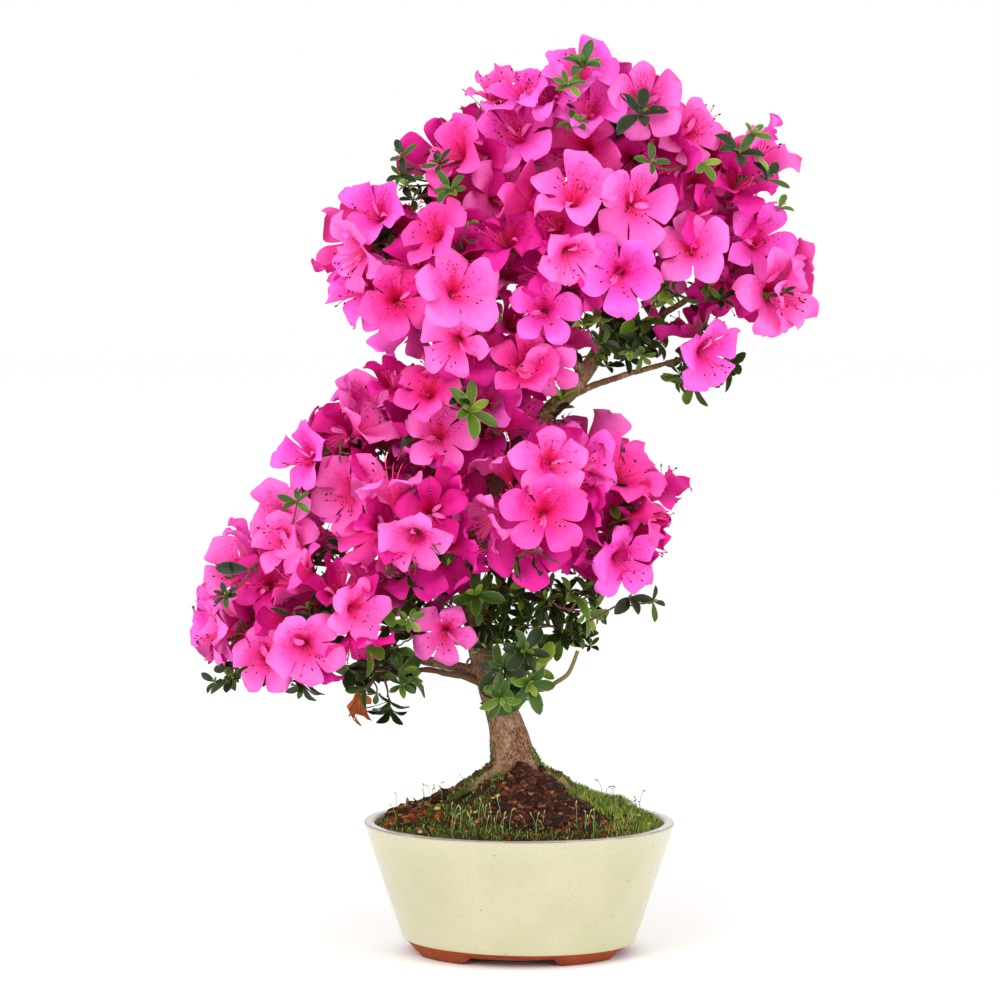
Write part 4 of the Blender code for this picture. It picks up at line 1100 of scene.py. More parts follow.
# For each kind: its seed, the lean of its way to the back and up, how deep it lies, how far it
# strays upwards, its full size and shares of that, how far it may lean into a neighbour's space,
# and its half width against the sky
DEEP_BLOOM = {"seed": 100, "back": -0.2, "up": 0.3, "depths": (0.40, 0.84), "rise": 0.1,
              "full": BLOOM_REACH, "shares": (0.82, 1.0), "lean": 0.06, "width": 0.85}
LEAFY_SHOOT = {"seed": 200, "back": 0.0, "up": -0.1, "depths": (0.30, 0.98), "rise": 0.3,
               "full": LEAF_LENGTH, "shares": (0.6, 0.95), "lean": 0.10, "width": 0.7}


def more_spots(spray, kind, wanted, is_crowded, known):
    """Seeded tries at further spots of one kind in a mass, and the joint that each grows from."""
    dice = random.Random(spray.mass.seed + kind["seed"])
    made = []
    for _ in range(wanted * TRIES_FOR_EACH):
        if len(made) == wanted:
            break
        way = Vector((dice.gauss(0, 1), dice.gauss(kind["back"], 1), dice.gauss(kind["up"], 1)))
        way.normalize()
        at = spray.place(way, dice.uniform(*kind["depths"]))
        stray = Vector((dice.gauss(0, STRAY_ASIDE), dice.gauss(0, STRAY_ASIDE),
                        dice.gauss(kind["rise"], STRAY_SPREAD)))
        size = kind["full"] * dice.uniform(*kind["shares"])
        roll = dice.uniform(0, FULL_TURN)
        if not in_own_space(spray.mass, at, 1.0, kind["lean"]) or is_crowded(at, size):
            continue
        if in_open_sky(at, kind["width"] * size):
            continue
        spot = (at, (way + stray).normalized(), roll, size)
        made.append((spot, nearest_joint(spray, at)))
        known.append(spot)
    return made


def near_bloom(at, size):
    return any((at - s[0]).length < DEEP_BLOOM_SPACING * (size + s[3]) for s in all_blooms)


def near_bloom_or_shoot(at, _):
    return (any((at - s[0]).length < SHOOT_TO_BLOOM * s[3] for s in all_blooms)
            or any((at - s[0]).length < SHOOT_SPACING for s in all_shoots))


for spray in sprays:
    wanted = round(len(spray.blooms) * DEEP_BLOOM_SHARE)
    spray.deep_blooms = more_spots(spray, DEEP_BLOOM, wanted, near_bloom, all_blooms)
for spray in sprays:
    wanted = SHOOTS_IN_BLOOM if spray.mass.blooms > 1 else SHOOTS_IN_LEAF
    spray.shoots = more_spots(spray, LEAFY_SHOOT, wanted, near_bloom_or_shoot, all_shoots)
print(len(all_blooms), "flowers and", len(all_shoots), "leafy shoots in all")

# %% [markdown]
# ## The shape of one flower
# An azalea flower is a funnel of five broad lobes that are one skin at the throat and free from
# about a third of the way out. Each lobe is a small net of points: its rows follow the funnel's
# section, its columns spread to the lobe's own outline. Where the lobes are fused, neighbours
# share points, so that the light runs smoothly over the seam. Past that, each lobe is tipped
# slightly, one side over its neighbour, as real lobes overlap. The upper lobe carries the dark
# dots. Twelve kinds of flower are made once, six of them wide open, and each place takes a copy.

# %% Funnel section and lobe outline, as shares of the flower's reach
SECTION_R = np.array([0.045, 0.075, 0.115, 0.18, 0.26, 0.34, 0.43, 0.52, 0.61,
                      0.70, 0.79, 0.87, 0.93, 0.97, 1.0])
SECTION_Z = np.array([-0.62, -0.53, -0.44, -0.35, -0.275, -0.215, -0.16, -0.11, -0.07,
                      -0.035, -0.01, 0.0, 0.0, -0.004, -0.01])
LOBE_WIDTH = np.array([0.027, 0.044, 0.068, 0.106, 0.153, 0.193, 0.250, 0.316, 0.370,
                       0.400, 0.396, 0.356, 0.296, 0.216, 0.095])
LOBE_DROP = np.array([0.009, 0.014, 0.022, 0.034, 0.050, 0.064, 0.062, 0.056, 0.054,
                      0.060, 0.074, 0.082, 0.074, 0.052, 0.016])
ACROSS = np.array([-1.0, -0.82, -0.58, -0.30, 0.0, 0.30, 0.58, 0.82, 1.0])
FUSED_ROWS = 6
FUSED_TO, FREE_FROM = 0.32, 0.60
FREE = smooth_step(SECTION_R, FUSED_TO, FREE_FROM)
HINGE, OPENS_FROM, ROLLS_FROM = 0.34, 0.28, 0.52
RIPPLE, CREASE, SIDE_FOLDS = 0.045, 0.040, 0.020


def lobe_net(dice, openness, reflex, fold):
    """The points of one lobe that runs out along x, as rows and columns."""
    length = 1.0 + FREE * dice.uniform(-0.10, 0.05)
    wide = 1.0 + FREE * (dice.uniform(-0.12, 0.14) - 0.35 * fold)
    r = SECTION_R * length
    r = np.where(SECTION_R > HINGE, HINGE + (r - HINGE) * (1.0 - 0.25 * openness), r)
    z = SECTION_Z + openness * 0.55 * np.maximum(0.0, SECTION_R - OPENS_FROM) ** 1.1
    z = z - reflex * np.maximum(0.0, SECTION_R - ROLLS_FROM) ** 2
    v = ACROSS[None, :]
    free = FREE[:, None]
    rows = SECTION_R[:, None]
    wave = dice.uniform(0, FULL_TURN)
    ripple = RIPPLE * np.sin(9.0 * rows + 2.6 * v + wave) * free
    notch = dice.uniform(-0.03, 0.04) * np.exp(-(v / 0.25) ** 2) * rows ** 8
    x = r[:, None] - LOBE_DROP[:, None] * v ** 2 - notch + ripple * 0.6 * np.abs(v)
    y = (LOBE_WIDTH * wide)[:, None] * v * (1.0 + ripple)
    cup = dice.uniform(-0.12, 0.08)
    lap = dice.uniform(0.04, 0.10)
    crease = CREASE * np.exp(-(v / 0.17) ** 2) + SIDE_FOLDS * np.cos(3 * math.pi * v)
    edge_wave = np.sin(10.5 * rows + 1.7 * np.sign(v) + wave)
    frill = dice.uniform(0.05, 0.12) * np.abs(v) ** 2.2 * edge_wave
    bowl_up = (cup + fold * 0.30) * v ** 2 + lap * v
    z = z[:, None] + free * (bowl_up - crease * (1 - 0.5 * free) + frill)
    sway = dice.uniform(-0.09, 0.09)
    return np.stack([x, y + free * sway * x, z], axis=-1)


# Finish numbers on a flower: eleven bands from the throat out, then what all tints share
BANDS = 11
FILAMENT, ANTHER, DOT, CALYX, PETALOID, WILTED = range(BANDS, BANDS + 6)
BAND_EDGES = (0.07, 0.11, 0.16, 0.22, 0.30, 0.38, 0.46, 0.55, 0.65, 0.76)
FLAME_REACH, BAND_WOBBLE = 0.25, 0.022


def band_of(row, column, lobe):
    """The band of one face: the flame of the throat runs furthest out on the upper lobe."""
    r = (SECTION_R[row] + SECTION_R[row + 1]) / 2
    v = (ACROSS[column] + ACROSS[column + 1]) / 2
    flames = {0: 1.0 - 0.5 * abs(v), 1: 0.40 - 0.55 * v, PETALS - 1: 0.40 + 0.55 * v}
    heat = r - FLAME_REACH * max(0.0, flames.get(lobe, 0.0)) + 0.05 * abs(v)
    heat += BAND_WOBBLE * math.sin(5.1 * row + 3.7 * column + 1.3 * lobe)
    return int(np.searchsorted(BAND_EDGES, heat))

# %% [markdown]
# The parts inside a flower are a handful of fine threads: five stamens that sweep down and curl
# up at their tips, each with a dark anther, one longer pistil, and in many of these flowers a
# curled scrap of petal where a stamen has half turned into one.

# %% Threads, scraps and dots of a flower
STAMENS = 5
THROAT_FOOT = (0, 0, -0.55)


def add_thread(bundle, turn, tip, steps, thick, thin):
    path = bend(THROAT_FOOT, turn, tip, steps)
    add_tube(bundle, path, np.linspace(thick, thin, steps), 3, FILAMENT)
    return path


def add_stamens(bundle, dice, stand):
    """Threads from the throat; stand is how far in front of the lobes they end."""
    for k in range(STAMENS):
        swing = dice.uniform(-0.35, 0.35) + (k - 2) * 0.42
        tip = np.array([-dice.uniform(0.04, 0.40), 0.42 * math.sin(swing), 0.0])
        tip[2] = stand * dice.uniform(0.5, 1.0)
        turn = (-0.22 * math.cos(swing), 0.12 * math.sin(swing), tip[2] * 0.30)
        path = add_thread(bundle, turn, tip, 7, 0.015, 0.010)
        way = path[-1] - path[-3] + dice.uniform(-0.1, 0.1)
        add_ball(bundle, tip, (0.040, 0.020), way, ANTHER, 4, 5)
    swing = dice.uniform(-0.25, 0.25)
    tip = np.array([-dice.uniform(0.0, 0.25), swing, stand * 1.2])
    add_thread(bundle, (-0.28, swing * 0.5, stand * 0.25), tip, 8, 0.016, 0.013)
    add_ball(bundle, tip, (0.022, 0.026), (0, 0, 1), ANTHER, 3, 5)


def add_petaloid(bundle, dice):
    """A curled scrap of petal that stands up in the throat."""
    swing = dice.uniform(0, FULL_TURN)
    long, wide = dice.uniform(0.20, 0.38), dice.uniform(0.04, 0.085)
    curl = dice.uniform(0.8, 2.2)
    rows, columns = 6, 4
    t = np.linspace(0, 1, rows)[:, None]
    v = np.linspace(-1, 1, columns)[None, :]
    x = 0.06 + 0.26 * t * long / 0.4 + 0.10 * np.sin(curl * t) * t + 0.0 * v
    y = wide * v * np.sin(math.pi * (0.12 + 0.80 * t))
    z = -0.34 + long * 1.05 * t - curl * 0.12 * t ** 3
    z = z + 0.07 * v ** 2 * t + 0.02 * np.sin(5 * t + 3 * v)
    points = rolled(np.stack([x, y, z], axis=-1).reshape(-1, 3), swing)
    bundle.add(points, grid_faces(rows, columns), PETALOID)


def add_dots(bundle, dice, net, count, side):
    """Dark dots that lie a hair above the face of a lobe."""
    for _ in range(count):
        row = dice.uniform(4.2, 9.2)
        column = 4.0 + side * 1.9 + dice.gauss(0, 1.25)
        if not 0.6 < column < 7.4:
            continue
        i, j = int(row), int(column)
        p, q = row - i, column - j
        spot = (net[i, j] * (1 - p) * (1 - q) + net[i + 1, j] * p * (1 - q)
                + net[i, j + 1] * (1 - p) * q + net[i + 1, j + 1] * p * q)
        out = unit(net[i + 1, j] - net[i, j])
        over = unit(net[i, j + 1] - net[i, j])
        long, wide = dice.uniform(0.016, 0.032), dice.uniform(0.008, 0.013)
        spot = spot + unit(np.cross(out, over)) * 0.010
        points = [spot + out * long, spot + over * wide, spot - out * long, spot - over * wide]
        bundle.add(points, [[0, 1, 2, 3]], DOT)

# %% Build the flower kinds
UPWARDS = (0, 0, 1)


def add_lobes(bundle, dice, openness, reflex, fold):
    """The five lobes as one skin whose neighbours share their points in the tube; their nets."""
    rows, columns = len(SECTION_R), len(ACROSS)
    nets = []
    corner = np.arange(PETALS * rows * columns).reshape(PETALS, rows, columns)
    for lobe in range(PETALS):
        lean = dice.uniform(-0.12, 0.11)
        own_open = openness + dice.uniform(-0.18, 0.18)
        own_reflex = reflex + dice.uniform(-0.3, 0.4)
        net = lobe_net(dice, own_open, own_reflex, max(0.0, fold + dice.uniform(-0.3, 0.2)))
        net[:, :, 2] += FREE[:, None] * lean
        nets.append(rolled(net, lobe * FULL_TURN / PETALS))
    for lobe in range(PETALS):
        corner[lobe, :FUSED_ROWS, -1] = corner[(lobe + 1) % PETALS, :FUSED_ROWS, 0]
    faces, picks = [], []
    for lobe, own in enumerate(corner.tolist()):
        for i in range(rows - 1):
            for j in range(columns - 1):
                faces.append([own[i][j], own[i + 1][j], own[i + 1][j + 1], own[i][j + 1]])
                picks.append(band_of(i, j, lobe))
    used = sorted({c for face in faces for c in face})
    place = {c: k for k, c in enumerate(used)}
    faces = [[place[c] for c in face] for face in faces]
    bundle.add(np.array(nets).reshape(-1, 3)[used], faces, picks)
    return nets


def add_calyx(bundle):
    """Five narrow sepals, the green knob under the flower and the foot of its tube."""
    base = np.array([0, 0, -0.64])
    for k in range(PETALS):
        swing = (k + 0.5) * FULL_TURN / PETALS
        out = np.array([math.cos(swing), math.sin(swing), 0.0])
        over = np.array([-math.sin(swing), math.cos(swing), 0.0])
        sepal = [base + over * 0.035, base - over * 0.035, raised(base + out * 0.13, 0.13)]
        bundle.add(sepal, [[0, 1, 2]], CALYX)
    add_ball(bundle, np.array([0, 0, -0.66]), (0.035, 0.050), UPWARDS, CALYX, 4, 6)
    add_ball(bundle, np.array([0, 0, -0.60]), (0.030, 0.052), UPWARDS, 0, 3, 6)


def flower_kind(seed, openness, reflex, fold, petaloids, stand):
    dice = random.Random(seed)
    bundle = Bundle()
    nets = add_lobes(bundle, dice, openness, reflex, fold)
    for lobe, count, side in ((0, 34, 0.0), (1, 10, -1.0), (4, 10, 1.0)):
        add_dots(bundle, dice, nets[lobe], count, side)
    add_stamens(bundle, dice, stand)
    for _ in range(petaloids):
        add_petaloid(bundle, dice)
    add_calyx(bundle)
    bundle.points = [np.concatenate(bundle.points)]
    return bundle


# Each kind: seed, how closed its funnel is, how far the tips roll back, how much the lobes are
# folded, how many curled scraps stand in the throat, and how far the threads stand out
OPEN_KINDS = [
    (1, 0.05, 0.35, 0.0, 0, 0.36), (2, 0.00, 0.60, 0.0, 1, 0.34), (3, 0.20, 0.30, 0.1, 2, 0.34),
    (4, 0.10, 0.80, 0.0, 1, 0.40), (5, 0.25, 0.50, 0.2, 1, 0.36), (6, 0.00, 0.45, 0.2, 2, 0.36),
]
OTHER_KINDS = [
    (7, 0.55, 0.60, 0.3, 1, 0.40), (8, 0.35, 0.90, 0.5, 3, 0.30), (9, 0.80, 0.50, 0.3, 0, 0.42),
    (10, 0.45, 1.30, 0.6, 1, 0.36), (11, 0.30, 0.20, 0.8, 2, 0.34), (12, 0.65, 1.10, 0.5, 0, 0.38),
]
open_kinds = [flower_kind(*row) for row in OPEN_KINDS]
flower_kinds = open_kinds + [flower_kind(*row) for row in OTHER_KINDS]
print("a flower has about", len(flower_kinds[0].faces), "faces")

# %% [markdown]
# ## Petal colours
# The petals are a strong magenta pink with a rose-red throat. Four tints are dealt out flower by
# flower. The paler outer part of each lobe is a painted highlight, and the deep tint, given mostly
# to the flowers deep inside the crown, is painted shade. Each band is a plain colour on purpose:
# the bands follow the shape of the flower, so they stay where they belong in any export.

# %% Petal finishes
PETAL_ROUGHNESS, PETAL_SHINE = 0.55, 0.16
# Each tint: its throat, the foot of its lobes and their outer part, whose paler colour is a painted
# highlight
PETAL_TINTS = [
    ("bright", (212, 28, 96), (244, 78, 176), (250, 112, 200)),
    ("cool", (202, 20, 102), (236, 62, 178), (246, 102, 208)),
    ("warm", (202, 12, 74), (234, 44, 142), (248, 80, 176)),
    # The deep tint is painted shade: a darker copy for the flowers deep in the crown
    ("deep", (172, 3, 60), (206, 12, 124), (224, 34, 150)),
]
THROAT_TO_LOBE = (0.0, 0.26, 0.48, 0.68, 0.86, 1.0)
LOBE_TO_TIP = (0.2, 0.4, 0.6, 0.8, 1.0)
flower_tones = []
for tint, throat, lobe, light in PETAL_TINTS:
    tones = [[a + (b - a) * t for a, b in zip(throat, lobe)] for t in THROAT_TO_LOBE]
    tones += [[a + (b - a) * t for a, b in zip(lobe, light)] for t in LOBE_TO_TIP]
    flower_tones += [("petal_%s_%d" % (tint, band), tone) for band, tone in enumerate(tones)]
flower_tones += [
    ("stamen_thread", (246, 70, 140)), ("anther", (70, 10, 34)), ("petal_dot", (168, 4, 60)),
    ("calyx_green", (96, 104, 44)), ("petaloid", (250, 112, 200)), ("wilted_petal", (208, 118, 66)),
]
blossom_finishes = [plain(name, tone, PETAL_ROUGHNESS, PETAL_SHINE) for name, tone in flower_tones]
SHARED_FROM = BANDS * len(PETAL_TINTS)
print(len(blossom_finishes), "finishes for the flowers")


def tinted(picks, tint):
    """Finish numbers of one flower, moved to its tint's row of finishes."""
    picks = np.asarray(picks)
    return np.where(picks < BANDS, picks + tint * BANDS, picks - BANDS + SHARED_FROM)

# %% [markdown]
# ## Leaves
# The leaves are small, leathery and longer than wide, broadest past the middle, with a pale hairy
# edge. One leaf is a net folded a little along its midrib and arched along its length, with a
# narrow strip of faces for the edge. Leaves sit in whorls: a ring of full-grown ones that lie
# open, and a few small ones that stand up round the bud. A leaf that would cover the face of a
# flower is left out, since the flowers of such a plant open in front of its leaves.

# %% Leaf kinds
LEAF_ALONG = np.array([0.0, 0.10, 0.30, 0.52, 0.74, 0.91, 1.0])
LEAF_HALF = np.array([0.018, 0.070, 0.150, 0.192, 0.176, 0.100, 0.006])
LEAF_ACROSS = np.array([-1.0, -0.86, 0.0, 0.86, 1.0])
LEAF_BODY, LEAF_EDGE = range(2)
LEAF_SEEDS = range(20, 28)
LEAF_ROUGHNESS, LEAF_SHINE = 0.42, 0.30
LEAF_TINTS = [
    ("dark", (28, 44, 10), (64, 80, 38)),
    ("mid", (54, 84, 18), (106, 124, 60)),
    ("fresh", (82, 114, 26), (140, 156, 84)),
    ("young", (122, 148, 40), (170, 182, 104)),
]
YOUNGEST = len(LEAF_TINTS) - 1
BUD_PICK = 2 * len(LEAF_TINTS)


def leaf_kind(seed):
    dice = random.Random(seed)
    t = LEAF_ALONG[:, None]
    v = LEAF_ACROSS[None, :]
    half = LEAF_HALF[:, None] * dice.uniform(0.88, 1.15)
    arch = dice.uniform(0.0, 0.32)
    fold = dice.uniform(0.15, 0.50)
    sway = dice.uniform(-0.06, 0.06)
    x = t * (1.0 - 0.10 * arch * t) + 0.0 * v
    y = half * v + sway * t * (1 - t) * 2
    z = 0.25 * arch * np.sin(math.pi * t * 0.9) - arch * 0.45 * t ** 2 + half * fold * np.abs(v)
    z = z + 0.012 * np.sin(9 * t + 4 * v + seed)
    points = np.stack([x, y, z], axis=-1).reshape(-1, 3)
    picks = np.tile([LEAF_EDGE, LEAF_BODY, LEAF_BODY, LEAF_EDGE], len(LEAF_ALONG) - 1)
    return points, grid_faces(len(LEAF_ALONG), len(LEAF_ACROSS)), picks


leaf_kinds = [leaf_kind(seed) for seed in LEAF_SEEDS]
leaf_tones = []
for tint, body, edge in LEAF_TINTS:
    leaf_tones += [("leaf_" + tint, body), ("leaf_edge_" + tint, edge)]
leaf_tones.append(("leaf_bud", (128, 140, 72)))
leaf_finishes = [plain(name, tone, LEAF_ROUGHNESS, LEAF_SHINE) for name, tone in leaf_tones]
print(len(leaf_kinds), "kinds of leaf in", len(leaf_finishes), "finishes")

# %% Leaves and their rosettes
bloom_at = np.array([np.array(spot[0]) for spot in all_blooms])
bloom_facing = np.array([np.array(spot[1]) for spot in all_blooms])
bloom_size = np.array([spot[3] for spot in all_blooms])
FACE_BACK, FACE_WIDTH = -0.28, 0.95
OPEN_LEAVES, SMALL_LEAVES = (4, 5, 6), (1, 2, 3)


def covers_a_face(point, ahead):
    """Whether a point lies in front of a flower, up to this share of its reach ahead of it."""
    away = point - bloom_at
    height = np.einsum("ij,ij->i", away, bloom_facing)
    aside = np.linalg.norm(away - height[:, None] * bloom_facing, axis=1)
    near = (height > FACE_BACK * bloom_size) & (height < ahead * bloom_size)
    return bool(np.any(near & (aside < FACE_WIDTH * bloom_size)))


def ways_of(facing, roll):
    """The frame of a flower or whorl as three rows of numbers."""
    return np.array([np.array(axis) for axis in axes_for(Vector(facing), roll)])


def add_leaf(bundle, dice, base, way, up, length, tint, ahead=0.9):
    """One leaf from its base along a direction, its face turned towards up."""
    points, faces, picks = dice.choice(leaf_kinds)
    x = unit(way)
    if covers_a_face(base + x * length, ahead) or covers_a_face(base + x * length * 0.5, ahead):
        return
    y = unit(np.cross(up, x))
    turned = points @ np.array([x, y, np.cross(x, y)])
    bundle.add(base + turned * length, faces, picks + 2 * tint)


def one_of(dice, options, weights):
    """One of the options, each as likely as its weight says."""
    return dice.choices(options, weights)[0]


def way_round(axes, angle):
    """A way square to the last of three axes."""
    return axes[0] * math.cos(angle) + axes[1] * math.sin(angle)


def tipped(out, up, rise):
    """A way that rises from out towards up."""
    return out * math.cos(rise) + up * math.sin(rise)


def add_rosette(bundle, dice, foot, axes, longest, ahead):
    """A ring of open leaves and a few that stand up round the bud."""
    f = axes[2]
    base_tint = one_of(dice, range(3), (6, 4, 1.5))
    count = dice.choice(OPEN_LEAVES)
    start = dice.uniform(0, FULL_TURN)
    for k in range(count):
        out = way_round(axes, start + FULL_TURN * (k + dice.uniform(-0.25, 0.25)) / count)
        way = tipped(out, f, dice.uniform(0.05, 0.65))
        tint = min(YOUNGEST, base_tint + (dice.random() < 0.2))
        length = longest * dice.uniform(0.62, 1.0)
        add_leaf(bundle, dice, foot + out * 0.5 * MM, way, f - out * 0.2, length, tint, ahead)
    for _ in range(dice.choice(SMALL_LEAVES)):
        out = way_round(axes, dice.uniform(0, FULL_TURN))
        way = tipped(out, f, dice.uniform(0.7, 1.25))
        tint = min(YOUNGEST, base_tint + 1 + (dice.random() < 0.25))
        length = longest * dice.uniform(0.30, 0.55)
        add_leaf(bundle, dice, foot + f * 0.6 * MM, way, f - out, length, tint, ahead)
    if not covers_a_face(foot + f * 2.0 * MM, ahead):
        add_ball(bundle, foot + f * 1.8 * MM, (2.0 * MM, 0.8 * MM), f, BUD_PICK, 4, 5)

# %% [markdown]
# ## Setting the flowers, leaves and twigs
# Each flower of the plan takes one of the kinds, rolled so that its dotted lobe is the one
# nearest the top, as on a real plant. Its stalk leaves the joint that the rule chose and swings
# round to meet the back of the flower. A few leaves sit under each flower. The crown is gathered
# in four storeys, so that no joined piece grows too heavy.

# %% Storeys of the crown
STOREYS = {
    "top": ("apex", "upper_left", "upper_right", "upper_back", "far_left"),
    "upper": ("upper_front", "upper_front_right", "upper_front_left", "upper_under", "right",
              "middle_right", "right_spray"),
    "middle": ("lower_top", "left_shoulder", "front_centre", "front_right", "right_shoulder",
               "lower_right", "lower_back"),
    "lower": ("left", "far_left_low", "front_left", "under_centre", "under_right", "front_tuft",
              "under_left"),
}
TWIG_WOOD, TWIG_GREEN = range(2)
TWIG_SIDES = 5
BOX_LOW = np.array(CAD_BOX[0] - SHIFT)
BOX_HIGH = np.array(CAD_BOX[1] - SHIFT)
EDGE_SPARE = 1.5 * MM
FLOWER_STRETCH = ((0.94, 1.06), (0.94, 1.06), (0.85, 1.2))
STALK_RADII = np.array([1.15, 1.0, 0.92, 0.85, 0.75, 0.62, 0.55, 0.6]) * MM
STALK_MEETS = 0.63
WOOD_POINTS = 6
SHOOT_POINTS, SHOOT_TIP = 7, 0.45 * MM
COLLAR_LEAVES, COLLAR_LENGTHS = (2, 3, 4), (8.0, 14.0)
ANY_ROLL = 6.28


def fit_in_box(points):
    """Hold the last tips back inside the box of the solids."""
    return np.clip(points, BOX_LOW - EDGE_SPARE, BOX_HIGH + EDGE_SPARE)


def reach_past_box(points):
    """How far a flower or leaf would reach past the box, as the step that brings it back."""
    over = np.maximum(points.max(axis=0) - BOX_HIGH - EDGE_SPARE, 0.0)
    under = np.minimum(points.min(axis=0) - BOX_LOW + EDGE_SPARE, 0.0)
    return -(over + under)


def strayed(dice, spot, turn):
    """The same place, with the flower turned a little aside."""
    at, facing, roll, size = spot
    aside = Vector((dice.gauss(0, 1), dice.gauss(0, 1), dice.gauss(0, 1))) * turn
    return at, (facing + aside - facing * aside.dot(facing)).normalized(), roll, size


def upper_lobe_roll(spot):
    """The roll that brings the flower's first lobe onto the lobe of the plan that is highest."""
    a, b, _ = axes_for(spot[1], spot[2])
    angles = [math.pi / PETALS + k * FULL_TURN / PETALS for k in range(PETALS)]
    return max(angles, key=lambda t: (a * math.cos(t) + b * math.sin(t)).z + 0.001 * t)


def set_flower(bundle, dice, spot, kind, shares):
    """Add a flower of one kind and return its spot, which is held back inside the box."""
    at, facing, roll, size = spot
    points = rolled(kind.points[0], upper_lobe_roll(spot))
    points = points * np.array([dice.uniform(*span) for span in FLOWER_STRETCH])
    placed = np.array(at) + (points @ ways_of(facing, roll)) * size
    step = reach_past_box(placed)
    tint = one_of(dice, range(len(PETAL_TINTS)), shares)
    bundle.add(placed + step, kind.faces, tinted(kind.picks, tint))
    return Vector(at) + Vector(step), facing, roll, size


def wobble(dice, count, spread):
    """Small steps aside, spread in mm, for the inner points of a twig."""
    return np.array([[dice.gauss(0, spread) * MM for _ in range(3)] for _ in range(count)])


def set_stalk(twigs, dice, joint, spot):
    """The twig and stalk from a joint to the back of a flower."""
    at, facing, _, size = spot
    joint, at, facing = np.array(joint), np.array(at), np.array(facing)
    back = at - facing * size * STALK_MEETS
    turn = back - facing * np.linalg.norm(back - joint) * 0.45
    path = bend(joint, turn, back, len(STALK_RADII))
    path[1:-1] += wobble(dice, len(path) - 2, 0.35)
    wood, green = slice(WOOD_POINTS), slice(WOOD_POINTS - 1, None)
    add_tube(twigs, path[wood], STALK_RADII[wood], TWIG_SIDES, TWIG_WOOD)
    add_tube(twigs, path[green], STALK_RADII[green], TWIG_SIDES, TWIG_GREEN)


def set_shoot(twigs, dice, joint, foot, facing, thick):
    """The twig from a joint to the foot of a whorl."""
    joint = np.array(joint)
    turn = (joint + foot) / 2 - facing * np.linalg.norm(foot - joint) * 0.25
    path = bend(joint, turn, foot, SHOOT_POINTS)
    path[1:-1] += wobble(dice, len(path) - 2, 0.3)
    add_tube(twigs, path, np.linspace(thick, SHOOT_TIP, SHOOT_POINTS), TWIG_SIDES, TWIG_WOOD)
    return path


def collar_leaves(leaves, dice, spot):
    """A few leaves round the foot of a flower's stalk."""
    at, facing, roll, size = spot
    axes = ways_of(facing, roll)
    foot = np.array(at) - axes[2] * size * dice.uniform(0.72, 0.95)
    tint = one_of(dice, range(3), (6, 4, 1))
    for _ in range(dice.choice(COLLAR_LEAVES)):
        out = way_round(axes, dice.uniform(0, FULL_TURN))
        way = tipped(out, axes[2], dice.uniform(-0.4, 0.45))
        add_leaf(leaves, dice, foot, way, axes[2], dice.uniform(*COLLAR_LENGTHS) * MM, tint)


def leafy_shoot(leaves, twigs, dice, joint, spot, longest, sides, ahead):
    """A twig with a rosette at its end and some smaller ones on short side twigs."""
    at, facing, roll, size = spot
    axes = ways_of(facing, roll)
    foot = np.array(at) - axes[2] * size * 0.10
    path = set_shoot(twigs, dice, joint, foot, axes[2], 0.9 * MM)
    add_rosette(leaves, dice, foot, axes, longest, ahead)
    for _ in range(sides):
        from_point = path[dice.choice((2, 3, 4, 5))]
        away = unit(np.array([dice.gauss(0, 1), dice.gauss(0, 1), dice.gauss(0.3, 1)]))
        end = foot + away * size * dice.uniform(0.35, 0.62)
        way = unit(end - from_point + axes[2] * size * 0.3)
        own = ways_of(way, dice.uniform(0, ANY_ROLL))
        set_shoot(twigs, dice, from_point, end, own[2], 0.6 * MM)
        add_rosette(leaves, dice, end, own, longest * dice.uniform(0.62, 0.85), ahead)

# %% [markdown]
# ## What the photograph shows at its own place
# Some things are not left to the dice, because the photograph shows where each one is: tufts of
# leaves between the flowers and under them, two thin crooked branches beside the trunk's top, a
# large leaf that hangs in front of it, and one brown wilted flower. Each is named by its pixel in
# the photograph, which one function turns into a place on the plant.

# %% Tufts, two branches, a large leaf and a wilted flower
# Where a tuft lies: on the blossom, deep among it, or in a gap of it; and how far in front of a
# flower its leaves stay clear of the flower's face
FRONT, DEEP, GAP = "front", "deep", "gap"
CLEAR_AHEAD = {FRONT: -1.0, DEEP: 0.5, GAP: -0.1}
NEAR_TUFT = 26.0 * MM
TUFT_RISE, TUFT_SINK = 7.0 * MM, 4.0 * MM
TUFT_LEAN = 0.001
WILTED_SEED = 88
